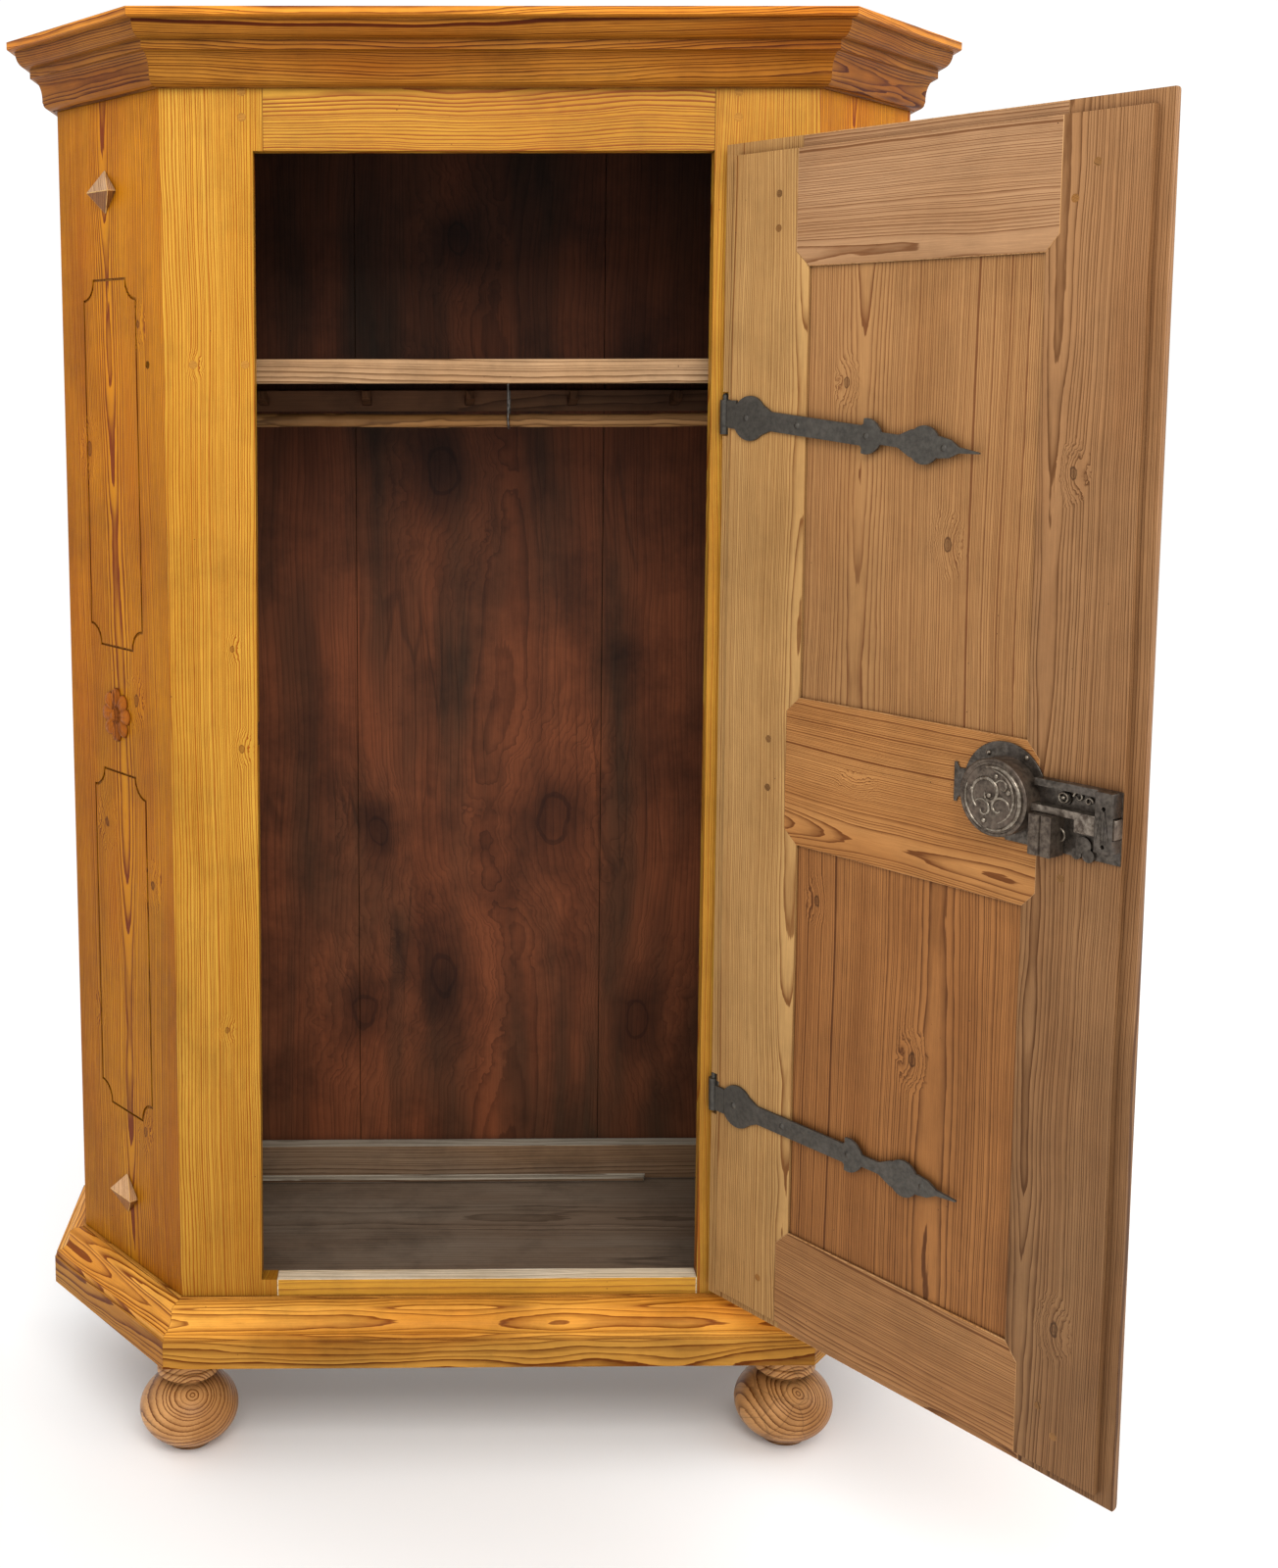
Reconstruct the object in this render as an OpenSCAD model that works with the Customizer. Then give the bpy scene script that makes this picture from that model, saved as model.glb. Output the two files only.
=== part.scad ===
// One-door pine wardrobe with chamfered corners, a moulded cornice and plinth, and four turned feet.
// Millimetres, +Z up. The origin is on the floor under the centre of the carcass; the front faces -Y.
// The door is drawn closed in its own frame and then swung open about its hinge pins.

/* [Carcass] */
// Height from the floor to the top of the cornice
total_h = 1860; // [1820:5:1900]
// Half the width of the flat front between the chamfered corners
half_front = 402; // [396:1:412]
// How far each chamfer runs sideways
chamfer_x = 163; // [150:1:175]
// How far each chamfer runs back
chamfer_y = 208; // [195:1:215]
// Depth of the carcass without its mouldings
body_d = 406; // [395:1:425]
// Thickness of the front, corner and side boards
board_t = 26; // [22:1:28]
// Thickness of the back boards
back_t = 18; // [14:1:20]
// Number of back boards
back_count = 3; // [2:1:5]

/* [Cornice and plinth] */
// Height of the cornice
cornice_h = 86; // [82:1:92]
// How far the cornice stands out at its top
cornice_out = 60; // [56:1:64]
// Underside of the plinth above the floor
plinth_low = 152; // [145:1:156]
// Height of the plinth
plinth_h = 78; // [74:1:84]
// How far the plinth stands out
plinth_out = 42; // [38:1:46]

/* [Opening] */
// Height of the top edge of the opening above the floor
open_top = 1700; // [1695:1:1705]
// Height of the sill above the floor
open_low = 252; // [248:1:253]
// Distance of the left rail joints from the middle
joint_left = 277; // [270:1:281]
// Distance of the right rail joints, and the opening's right edge, from the middle
joint_right = 274; // [270:1:276]
// Left edge of the opening at the top, cut back wider than the joint
edge_left_top = 289; // [288:1:291]
// Left edge of the opening at the sill
edge_left_low = 297; // [291:1:298]

/* [Door] */
// Angle the door stands open at rest
open_angle = 126.5; // [90:0.5:150]
// Thickness of the door in front of the carcass
door_out = 20; // [18:1:22]
// How far the inner leaf of the door enters the opening
door_in = 8; // [6:1:10]
// Hinge-side edge of the door
door_right = 288; // [286:1:288]
// Lock-side edge of the door
door_left = 304; // [302:1:306]
// Top edge of the door
door_top = 1705; // [1704:1:1712]
// Bottom edge of the door
door_low = 242; // [238:1:246]
// Width of the bevel round each panel
bevel_w = 18; // [14:1:20]
// Fall of the bevel towards each panel
bevel_fall = 2.5; // [1:0.5:5]

/* [Hinges] */
// Height of the middle of the upper hinge's eye
hinge_high = 1382; // [1370:1:1400]
// Height of the middle of the lower hinge's eye
hinge_lower = 512; // [500:1:525]
// Radius of a hinge pin
pin_r = 4; // [3.5:0.5:4.5]
// Thickness of the strap iron
strap_t = 3; // [2.5:0.5:3.5]

/* [Inside] */
// Underside of the hat shelf
shelf_z = 1418; // [1410:1:1425]
// Thickness of the shelf
shelf_t = 31; // [24:1:32]
// Height of the clothes rail's centre
rail_z = 1369; // [1360:1:1380]
// Radius of the clothes rail
rail_r = 9.5; // [8:0.5:12]
// Number of coat pegs on the back
peg_count = 5; // [3:1:6]

/* [Hidden] */

front_y = -body_d / 2;
back_y = body_d / 2;
half_body = half_front + chamfer_x;
chamfer_angle = atan2(chamfer_y, chamfer_x);
carcass_low = plinth_low;
carcass_top = total_h - 25;
cornice_low = total_h - cornice_h;
plinth_top = plinth_low + plinth_h;
floor_t = 18;
floor_z = 222;
top_t = 16;
gap = 1;

// Outer corners of the right half of the plan, and the outward normals of its three faces
corner_a = [half_front, front_y];
corner_b = [half_body, front_y + chamfer_y];
corner_c = [half_body, back_y];
n_front = [0, -1];
n_chamfer = [sin(chamfer_angle), -cos(chamfer_angle)];
n_side = [1, 0];

// Joinery
tenon_t = 10;
tenon_l = 60;
peg_r = 5;
peg_gap = 0.05;

// Hinge axis, on the door's own closed frame where y = 0 is the front of the carcass
pivot_x = 291;
pivot_y = -8;
eye_r = 7;
eye_h = 32;
eye_gap = 0.08;

// Door members, on the closed door seen from outside
door_peg_r = 4.5;
leaf_right = 267;
leaf_left = 287;
leaf_top = 1690;
leaf_low = 255;
stile_in_right = 166.5;
stile_in_left = 187.5;
top_rail_low = 1572;
mid_rail_low = 885;
mid_rail_top = 1029;
low_rail_top = 358;
lip_t = 4;
lip_seat = 0.4;
lip_curve = 14;
groove_low = -6;
groove_high = 2;
groove_d = 10;

// Lock, on the inner face of the closed door
drum_x = -149;
drum_z = 985;
drum_r = 42;
drum_h = 24;
plate_t = 2;
bolt_end = leaf_left + 2;
bolt_top = 986;
bolt_h = 8;
bolt_head_low = 965;
bolt_t = 14;
bolt_gap = 0.6;
lock_face = door_in + plate_t;

// Colours
honey = [0.80, 0.58, 0.26];
honey_dark = [0.66, 0.42, 0.17];
moulding = [0.70, 0.45, 0.20];
inside_dark = [0.24, 0.15, 0.10];
door_brown = [0.63, 0.44, 0.27];
iron = [0.22, 0.24, 0.23];
steel = [0.42, 0.39, 0.36];

// Point at distance o outside a corner whose two faces have the normals a and b
function mitred(p, a, b, o) = p + o * (a + b) / (1 + a * b);
// Points of an arc, from angle a to angle b
function arc(c, rx, ry, a, b, steps = 10) =
    [for (i = [0:steps]) let (t = a + (b - a) * i / steps) [c[0] + rx * cos(t), c[1] + ry * sin(t)]];
// Mirror image of a list of points about the Y axis, in reverse order
function flipped(points) = [for (i = [len(points) - 1:-1:0]) [-points[i][0], points[i][1]]];
module both_sides() {
    children();
    mirror([1, 0, 0]) children();
}

// Draws on the right chamfer: X back along it from the front corner, Y into the carcass
module on_chamfer() {
    translate([half_front, front_y, 0]) rotate([0, 0, chamfer_angle]) children();
}

// An outline given as x and z, from depth y0 to depth y1
module upright(y0, y1) {
    translate([0, y1, 0]) rotate([90, 0, 0]) linear_extrude(y1 - y0) children();
}

// A profile given as y and z, from x0 to x1
module along_x(x0, x1) {
    translate([x0, 0, 0]) rotate([90, 0, 90]) linear_extrude(x1 - x0) children();
}

// The plan inside the boards, drawn in by an extra gap
module inner_plan(extra) {
    o = -(board_t + extra);
    right = [mitred(corner_a, n_front, n_chamfer, o), mitred(corner_b, n_chamfer, n_side, o),
        [half_body + o, back_y - back_t - extra]];
    polygon(concat(right, flipped(right)));
}

// ---- Carcass boards ----

module side_board() {
    inner = mitred(corner_b, n_chamfer, n_side, -board_t);
    color(honey_dark) translate([0, 0, carcass_low]) linear_extrude(carcass_top - carcass_low)
        polygon([corner_b, corner_c, [half_body - board_t, back_y], inner]);
}

// Flat panel outline with a quarter circle taken out of each corner
module notched_outline(half_w, low, high, notch) {
    difference() {
        translate([-half_w, low]) square([2 * half_w, high - low]);
        for (x = [-half_w, half_w], z = [low, high]) translate([x, z]) circle(notch, $fn = 48);
    }
}

// V-like line cut round one sunk panel of a corner board
module panel_groove(low, high) {
    half_w = 69;
    notch = 26;
    line = 3;
    difference() {
        notched_outline(half_w, low, high, notch);
        notched_outline(half_w - line, low + line, high - line, notch);
    }
}

groove_depth = 2.5;
panel_mid = 135;
upper_panel = [1073, 1552];
lower_panel = [438, 908];

module corner_board() {
    color(honey_dark) difference() {
        translate([0, 0, carcass_low]) linear_extrude(carcass_top - carcass_low)
            polygon([corner_a, corner_b, mitred(corner_b, n_chamfer, n_side, -board_t),
                mitred(corner_a, n_front, n_chamfer, -board_t)]);
        on_chamfer() translate([panel_mid, 0, 0]) upright(-1, groove_depth) {
            panel_groove(upper_panel[0], upper_panel[1]);
            panel_groove(lower_panel[0], lower_panel[1]);
        }
        frame_peg_set(peg_r + peg_gap);
        foot_pin_holes();
    }
}

// Plan of one front stile, mitred to its corner board
module stile_plan(edge) {
    translate([0, 0, carcass_low]) linear_extrude(carcass_top - carcass_low)
        polygon([[edge, front_y], corner_a, mitred(corner_a, n_front, n_chamfer, -board_t),
            [edge, front_y + board_t]]);
}

module frame_tenon(x0, x1, low, high, grow = 0) {
    translate([x0, front_y + (board_t - tenon_t) / 2 - grow, low - grow])
        cube([x1 - x0, tenon_t + 2 * grow, high - low + 2 * grow]);
}

top_tenon = [open_top + 20, carcass_top - 20];
low_tenon = [carcass_low + 15, open_low - 15];

module frame_mortises(x0, x1) {
    frame_tenon(x0, x1, top_tenon[0], top_tenon[1], 0.1);
    frame_tenon(x0, x1, low_tenon[0], low_tenon[1], 0.1);
}

module stile_left() {
    color(honey) difference() {
        intersection() {
            mirror([1, 0, 0]) stile_plan(joint_left);
            upright(front_y - 1, front_y + board_t + 1)
                polygon([[-half_front, carcass_low], [-joint_left, carcass_low],
                    [-joint_left, open_low], [-edge_left_low, open_low],
                    [-edge_left_top, open_top], [-joint_left, open_top],
                    [-joint_left, carcass_top], [-half_front, carcass_top]]);
        }
        frame_mortises(-joint_left - tenon_l - 0.5, -joint_left + 1);
        frame_peg_set(peg_r + peg_gap);
        // Slot that the lock bolt enters, open at the back
        translate([-edge_left_low - 14, front_y + door_in + 1, bolt_head_low - 5])
            cube([20, board_t, bolt_top - bolt_head_low + 10]);
    }
}

module stile_right() {
    color(honey) difference() {
        stile_plan(joint_right);
        frame_mortises(joint_right - 1, joint_right + tenon_l + 0.5);
        frame_peg_set(peg_r + peg_gap);
        for (z = [hinge_high, hinge_lower]) pintle_spike(z, peg_gap);
    }
}

module frame_rail(low, high, tenon) {
    color(honey) difference() {
        union() {
            translate([-joint_left, front_y, low]) cube([joint_left + joint_right, board_t, high - low]);
            frame_tenon(-joint_left - tenon_l, -joint_left, tenon[0], tenon[1]);
            frame_tenon(joint_right, joint_right + tenon_l, tenon[0], tenon[1]);
        }
        frame_peg_set(peg_r + peg_gap);
    }
}

// Upright boards, half lapped to each other so that no light comes through
module back_boards() {
    wide = 2 * (half_body - board_t) / back_count;
    lap = 12;
    half = back_t / 2;
    color(inside_dark) for (i = [0:back_count - 1])
        translate([-half_body + board_t + i * wide, back_y - back_t, carcass_low])
            linear_extrude(carcass_top - carcass_low)
                polygon([[0, 0], [wide - gap, 0], [wide - gap, half - 0.2],
                    [i < back_count - 1 ? wide + lap - gap : wide - gap, half - 0.2],
                    [i < back_count - 1 ? wide + lap - gap : wide - gap, back_t], [i > 0 ? lap : 0, back_t],
                    [i > 0 ? lap : 0, half - 0.4], [0, half - 0.4]]);
}

module top_board() {
    right = [corner_a, corner_b, corner_c];
    color(honey_dark) translate([0, 0, carcass_top]) linear_extrude(top_t)
        polygon(concat(right, flipped(right)));
}

// One of the two floor boards, between depths y0 and y1
module floor_board(y0, y1) {
    color(inside_dark) translate([0, 0, floor_z - floor_t]) intersection() {
        linear_extrude(floor_t) inner_plan(gap);
        translate([-half_body, y0, 0]) cube([2 * half_body, y1 - y0, floor_t]);
    }
}

batten_d = 26;
batten_h = 54;

module floor_batten() {
    lath_d = 10;
    lath_h = 7;
    color(inside_dark) translate([-half_body + board_t + gap, back_y - back_t - batten_d, floor_z]) {
        cube([2 * (half_body - board_t - gap), batten_d, batten_h]);
        translate([0, -lath_d, 0]) cube([half_body - board_t + 246, lath_d, lath_h]);
    }
}

// Strips on the side boards that carry the floor
module floor_cleats() {
    color(inside_dark) both_sides()
        translate([half_body - board_t - 22, front_y + chamfer_y + 30, floor_z - floor_t - 30])
            cube([22, 60, 30]);
}

// ---- Feet ----

foot_r = 66;
foot_x = 402;
foot_front = 54;
foot_rear = 70;
foot_pin_r = 15;
foot_pin_h = 40;
ball_h = 98;
foot_places = [[-foot_x, front_y + foot_front], [foot_x, front_y + foot_front],
    [-foot_x, back_y - foot_rear], [foot_x, back_y - foot_rear]];

// Round holes for the feet's pins, which also cut into the corner boards
module foot_pin_holes() {
    for (p = foot_places) translate([p[0], p[1], carcass_low - 1])
        cylinder(foot_pin_h + 3, foot_pin_r + peg_gap, foot_pin_r + peg_gap, $fn = 64);
}

// Blocks under the floor that the feet are pinned into
module foot_blocks() {
    block = 110;
    color(inside_dark) difference() {
        translate([0, 0, carcass_low]) intersection() {
            linear_extrude(floor_z - floor_t - carcass_low) inner_plan(gap);
            for (p = foot_places) translate([p[0] - block / 2, p[1] - block / 2, 0])
                cube([block, block, floor_z - floor_t - carcass_low]);
        }
        foot_pin_holes();
    }
}

// Turned ball foot with a collar, a cut line and a round tenon
module foot(i) {
    collar_r = 42;
    flat_r = 34;
    ball = arc([0, ball_h / 2], foot_r, ball_h / 2, -59, 62, 28);
    color(moulding) translate([foot_places[i][0], foot_places[i][1], 0]) rotate_extrude($fn = 96)
        polygon(concat([[0, 0], [flat_r - 4, 0]], [for (p = ball) [p[0], p[1]]],
            [[collar_r - 8, ball_h - 2], [collar_r, ball_h + 4], [collar_r, ball_h + 12],
            [collar_r - 2, ball_h + 14], [collar_r, ball_h + 16], [collar_r, carcass_low],
            [foot_pin_r, carcass_low], [foot_pin_r, carcass_low + foot_pin_h], [0, carcass_low + foot_pin_h]]));
}

// ---- Mouldings ----

// Cornice, from below: a bead, a deep hollow, a fillet, an ovolo that curves under, and a square top
module cornice_profile() {
    z = cornice_low;
    out = cornice_out;
    polygon(concat([[0, z], [5, z]], arc([5, z + 9], 12, 8, -90, 0, 8), [[18, z + 11], [18, z + 14]],
        arc([out - 29, z + 14], out - 47, 27, 180, 90, 12), [[out - 27.5, z + 41], [out - 27.5, z + 52.5]],
        arc([out - 24, z + 74], 14, 20.5, -90, 0, 12),
        [[out - 2, z + 75], [out, z + 76.5], [out, z + cornice_h], [0, z + cornice_h]]));
}

// Plinth: a flat band, a fillet and a hollow above it, and a flattened round at the top
module plinth_profile() {
    z = plinth_low;
    out = plinth_out;
    polygon(concat([[0, z], [out, z], [out, z + 37], [out - 2.5, z + 38]],
        arc([out - 2.5, z + 67], 17.5, 22, 270, 180, 12),
        arc([4, z + 70], out - 24, 5.5, 0, 90, 10), [[4, z + plinth_h], [0, z + plinth_h]]));
}

// A straight run of moulding on the face from a to b, whose ends lean out along va and vb
module run(a, b, va, vb, n, reach, low, high) {
    mid = (a + b) / 2;
    intersection() {
        translate([mid[0], mid[1], 0]) rotate([0, 0, atan2(n[1], n[0])]) rotate([90, 0, 0])
            linear_extrude(norm(b - a) + 4 * reach, center = true) children();
        translate([0, 0, low - 1]) linear_extrude(high - low + 2)
            polygon([a, b, b + (reach + 1) * vb, a + (reach + 1) * va]);
    }
}

lean_a = mitred([0, 0], n_front, n_chamfer, 1);
lean_b = mitred([0, 0], n_chamfer, n_side, 1);
mirror_a = [-corner_a[0], corner_a[1]];
lean_mirror = [-lean_a[0], lean_a[1]];

module front_run(reach, low, high) {
    run(mirror_a, corner_a, lean_mirror, lean_a, n_front, reach, low, high) children();
}

module corner_run(reach, low, high) {
    run(corner_a, corner_b, lean_a, lean_b, n_chamfer, reach, low, high) children();
}

module side_run(reach, low, high) {
    run(corner_b, corner_c, lean_b, n_side, n_side, reach, low, high) children();
}

module cornice_front() {
    color(moulding) front_run(cornice_out, cornice_low, total_h) cornice_profile();
}

module cornice_corner() {
    color(moulding) corner_run(cornice_out, cornice_low, total_h) cornice_profile();
}

module cornice_side() {
    color(moulding) side_run(cornice_out, cornice_low, total_h) cornice_profile();
}

module plinth_front() {
    color(moulding) front_run(plinth_out, plinth_low, plinth_top) plinth_profile();
}

module plinth_corner() {
    color(moulding) corner_run(plinth_out, plinth_low, plinth_top) plinth_profile();
}

module plinth_side() {
    color(moulding) side_run(plinth_out, plinth_low, plinth_top) plinth_profile();
}

// ---- Inside ----

shelf_front = 60;

module shelf() {
    color(inside_dark) translate([0, 0, shelf_z]) intersection() {
        linear_extrude(shelf_t) inner_plan(0.5);
        translate([-half_body, front_y + shelf_front, 0]) cube([2 * half_body, body_d, shelf_t]);
    }
}

module shelf_cleats() {
    cleat = 25;
    color(inside_dark) both_sides()
        translate([half_body - board_t - cleat, front_y + chamfer_y + 20, shelf_z - cleat])
            cube([cleat, 140, cleat]);
}

rail_y = front_y + 240;
socket_t = 20;

// Rough round stick, resting in a block at each end
module clothes_rail() {
    length = 2 * (half_body - board_t - 4);
    color(honey_dark) translate([-length / 2, rail_y, rail_z]) rotate([0, 90, 0])
        cylinder(length, rail_r, rail_r, $fn = 48);
}

module rail_sockets() {
    wide = 44;
    deep = 15;
    color(inside_dark) both_sides() difference() {
        translate([half_body - board_t - socket_t, rail_y - wide / 2, rail_z - 30])
            cube([socket_t, wide, shelf_z - 25 - rail_z + 30]);
        translate([half_body - board_t - socket_t - 1, rail_y, rail_z]) rotate([0, 90, 0])
            cylinder(deep + 4, rail_r + 0.4, rail_r + 0.4, $fn = 48);
    }
}

// Wire staple that hangs from the shelf and carries the middle of the rail
module rail_hook() {
    wire_r = 1.6;
    bend_r = rail_r + wire_r + 0.4;
    color(iron) translate([33, rail_y, rail_z]) {
        for (y = [-bend_r, bend_r]) translate([0, y, 0])
            cylinder(shelf_z - rail_z, wire_r, wire_r, $fn = 24);
        intersection() {
            rotate([0, 90, 0]) rotate_extrude($fn = 64) translate([bend_r, 0]) circle(wire_r, $fn = 24);
            translate([-5, -bend_r - 5, -bend_r - 5]) cube([10, 2 * bend_r + 10, bend_r + 5]);
        }
    }
}

peg_rail_t = 20;
peg_rail_low = 1376;
peg_rail_h = 30;
peg_pitch = 147;
peg_mid = -16;
peg_side = 12;

function peg_x(i) = peg_mid + (i - (peg_count - 1) / 2) * peg_pitch;

module peg_rail() {
    color(inside_dark) difference() {
        translate([-520, back_y - back_t - peg_rail_t, peg_rail_low]) cube([1040, peg_rail_t, peg_rail_h]);
        for (i = [0:peg_count - 1]) peg_blank(i, 0.1);
    }
}

// One squared coat peg, tilted up a little
module peg_blank(i, grow = 0) {
    side = peg_side + 2 * grow;
    translate([peg_x(i), back_y - back_t - peg_rail_t, peg_rail_low + peg_rail_h / 2]) rotate([-12, 0, 0])
        translate([-side / 2, -45, -side / 2]) cube([side, 45 + 14 + grow, side]);
}

module coat_pegs() {
    color(inside_dark) for (i = [0:peg_count - 1]) peg_blank(i);
}

// ---- Ornament and pegs on the carcass ----

stud_half = 28;
stud_out = 12;

// Rhombus with a level ridge across its middle
module stud() {
    intersection() {
        upright(-stud_out, 0) polygon([[stud_half, 0], [0, stud_half], [-stud_half, 0], [0, -stud_half]]);
        along_x(-stud_half, stud_half)
            polygon([[0, -stud_half], [-stud_out, 0], [0, stud_half]]);
    }
}

module diamond_studs() {
    color(moulding) both_sides() on_chamfer() for (z = [322, 1661]) translate([panel_mid + 4, 0, z]) stud();
}

// Carved leaf rosette: eight petals round a boss
module rosettes() {
    petals = 8;
    petal_r = 13;
    ring = 25;
    color(moulding) both_sides() on_chamfer() translate([panel_mid + 3, 0, 984]) rotate([90, 0, 0]) {
        for (i = [0:petals - 1]) rotate([0, 0, i * 360 / petals]) translate([ring, 0, 0])
            intersection() {
                translate([0, 0, -petal_r * 1.6]) sphere(petal_r * 2, $fn = 48);
                cylinder(12, petal_r, petal_r, $fn = 48);
            }
        cylinder(6, 20, 20, $fn = 48);
        intersection() {
            translate([0, 0, -4]) sphere(14, $fn = 48);
            cylinder(12, 14, 14, $fn = 48);
        }
    }
}

// Wooden pegs that lock the frame's tenons, and those at the height of the shelf, drawn with radius r
module frame_peg_set(r) {
    length = 19;
    tenon_peg_x = joint_left + 25;
    shelf_peg_z = shelf_z + 24;
    for (x = [-tenon_peg_x, tenon_peg_x], z = [top_tenon[0] + 20, top_tenon[1] - 45,
        low_tenon[0] + 15, low_tenon[1] - 15])
        translate([x, front_y + length, z]) rotate([90, 0, 0]) cylinder(length, r, r, $fn = 32);
    for (x = [-half_front + 36, -tenon_peg_x, tenon_peg_x, half_front - 36])
        translate([x, front_y + length, shelf_peg_z]) rotate([90, 0, 0]) cylinder(length, r, r, $fn = 32);
    both_sides() on_chamfer() for (x = [40, 223]) translate([x, length, shelf_peg_z])
        rotate([90, 0, 0]) cylinder(length, r, r, $fn = 32);
}

module frame_pegs() {
    color(honey_dark) frame_peg_set(peg_r);
}

// Spike of a hinge's hook, in the stile
module pintle_spike(z, grow) {
    side = spike + 2 * grow;
    translate([pivot_x - side / 2, front_y + pivot_y, z - eye_h / 2 - 0.3 - shoulder_h - grow])
        cube([side, 26 + grow, side]);
}

spike = 9;
shoulder_h = 10;

// Hook of one hinge: a pin on a shoulder, with a spike driven into the stile
module pintle(z) {
    color(iron) {
        pintle_spike(z, 0);
        translate([pivot_x, front_y + pivot_y, z - eye_h / 2 - 0.3]) {
            translate([0, 0, -shoulder_h]) cylinder(shoulder_h, eye_r - 0.3, eye_r - 0.3, $fn = 48);
            cylinder(eye_h + 5, pin_r, pin_r, $fn = 48);
            translate([0, 0, eye_h + 5]) intersection() {
                sphere(pin_r, $fn = 48);
                translate([-pin_r, -pin_r, 0]) cube(2 * pin_r);
            }
        }
    }
}

// ---- Door ----

// Puts what is drawn on the closed door at its open rest angle
module on_door() {
    translate([pivot_x, front_y + pivot_y, 0]) rotate([0, 0, open_angle])
        translate([-pivot_x, -pivot_y, 0]) children();
}

// Outer moulded edge of the door, from the lip at 'edge' towards lower values. Its back stops
// lip_seat short of the frame's face when the door is shut.
function lip(edge, way) = concat([[edge, -lip_seat]],
    arc([edge - way * lip_curve, -lip_t], way * lip_curve, lip_t - door_out, 0, 90, 8));

// Section of a stile as x and y; way is 1 on the hinge side and -1 on the lock side
module stile_section(edge, leaf, inner, way) {
    polygon(concat([[leaf, door_in], [leaf, -lip_seat]], lip(edge, way),
        [[inner - way * (bevel_w - 10), -door_out], [inner - way * bevel_w, -door_out + 5],
        [inner - way * bevel_w, groove_low], [inner - way * (bevel_w - groove_d), groove_low],
        [inner - way * (bevel_w - groove_d), groove_high], [inner - way * bevel_w, groove_high],
        [inner - way * bevel_w, door_in - bevel_fall], [inner, door_in]]));
}

// Section of the whole door as y and z, with its moulded top and bottom edges
module door_section() {
    turned = function (points) [for (p = points) [p[1], p[0]]];
    polygon(concat([[door_in, leaf_low], [door_in, leaf_top], [-lip_seat, leaf_top]],
        turned(lip(door_top, 1)), [for (i = [9:-1:0]) turned(lip(door_low, -1))[i]],
        [[-lip_seat, leaf_low]]));
}

// Front outline of a stile: its flat width with a mitred tab along each panel
module stile_outline(outer, inner, way) {
    polygon([[outer, door_low], [outer, door_top], [inner, door_top], [inner, top_rail_low],
        [inner - way * bevel_w, top_rail_low - bevel_w], [inner - way * bevel_w, mid_rail_top + bevel_w],
        [inner, mid_rail_top], [inner, mid_rail_low],
        [inner - way * bevel_w, mid_rail_low - bevel_w], [inner - way * bevel_w, low_rail_top + bevel_w],
        [inner, low_rail_top], [inner, door_low]]);
}

rail_tenons = [[top_rail_low + 14, leaf_top - 22], [mid_rail_low + 16, mid_rail_top - 16],
    [leaf_low + 20, low_rail_top - 14]];

module door_tenon(x0, x1, z, grow = 0) {
    translate([x0, -7 - grow, z[0] - grow]) cube([x1 - x0, tenon_t + 2 * grow, z[1] - z[0] + 2 * grow]);
}

module door_stile(outer, leaf, inner, way) {
    intersection() {
        translate([0, 0, door_low]) linear_extrude(door_top - door_low) stile_section(outer, leaf, inner, way);
        along_x(-400, 400) door_section();
        upright(-door_out - 1, door_in + 1) stile_outline(outer, inner, way);
    }
}

// Room cut in the hinge-side lip for one hinge eye, its shoulder and the cranked strap
module hinge_room(z) {
    low = z - eye_h / 2 - 12;
    high = z + eye_h / 2 + 10;
    translate([279, -door_out - 1, low]) cube([20, door_out + 1.5, high - low]);
    translate([leaf_right - 0.2, -10.5, z - eye_h / 2 - 1]) cube([30, 10.5 + 0.5, eye_h + 2]);
}

module hinge_stile() {
    color(door_brown) on_door() difference() {
        door_stile(door_right, leaf_right, stile_in_right, 1);
        for (z = rail_tenons) door_tenon(stile_in_right - 1, stile_in_right + tenon_l + 0.5, z, 0.1);
        for (z = [hinge_high, hinge_lower]) hinge_room(z);
        door_peg_set(door_peg_r + peg_gap);
    }
}

module lock_stile() {
    color(door_brown) on_door() difference() {
        door_stile(-door_left, -leaf_left, -stile_in_left, -1);
        for (z = rail_tenons) door_tenon(-stile_in_left - tenon_l - 0.5, -stile_in_left + 1, z, 0.1);
        door_peg_set(door_peg_r + peg_gap);
    }
}

// A rail between the stiles, from its section, with mitred tabs at the edges that face a panel
module door_rail(low, high, tab_low, tab_high, tenon) {
    a = -stile_in_left;
    b = stile_in_right;
    difference() {
        union() {
            intersection() {
                along_x(a, b) children();
                upright(-door_out - 1, door_in + 1) polygon([[a, low], [a + tab_low, low - tab_low],
                    [b - tab_low, low - tab_low], [b, low], [b, high], [b - tab_high, high + tab_high],
                    [a + tab_high, high + tab_high], [a, high]]);
            }
            door_tenon(a - tenon_l, a, tenon);
            door_tenon(b, b + tenon_l, tenon);
        }
        door_peg_set(door_peg_r + peg_gap);
    }
}

// The edge of a rail that faces a panel, as y and z points; way is 1 where the edge is the upper one
function panel_edge(z, way) = [[door_in, z], [door_in - bevel_fall, z + way * bevel_w],
    [groove_high, z + way * bevel_w], [groove_high, z + way * (bevel_w - groove_d)],
    [groove_low, z + way * (bevel_w - groove_d)], [groove_low, z + way * bevel_w],
    [-door_out + 5, z + way * bevel_w], [-door_out, z + way * (bevel_w - 10)]];

function backwards(points) = [for (i = [len(points) - 1:-1:0]) points[i]];

module door_top_rail() {
    color(door_brown) on_door() door_rail(top_rail_low, door_top, bevel_w, 0, rail_tenons[0])
        polygon(concat([[door_in, leaf_top], [-lip_seat, leaf_top]], [for (p = lip(door_top, 1)) [p[1], p[0]]],
            backwards(panel_edge(top_rail_low, -1))));
}

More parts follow.
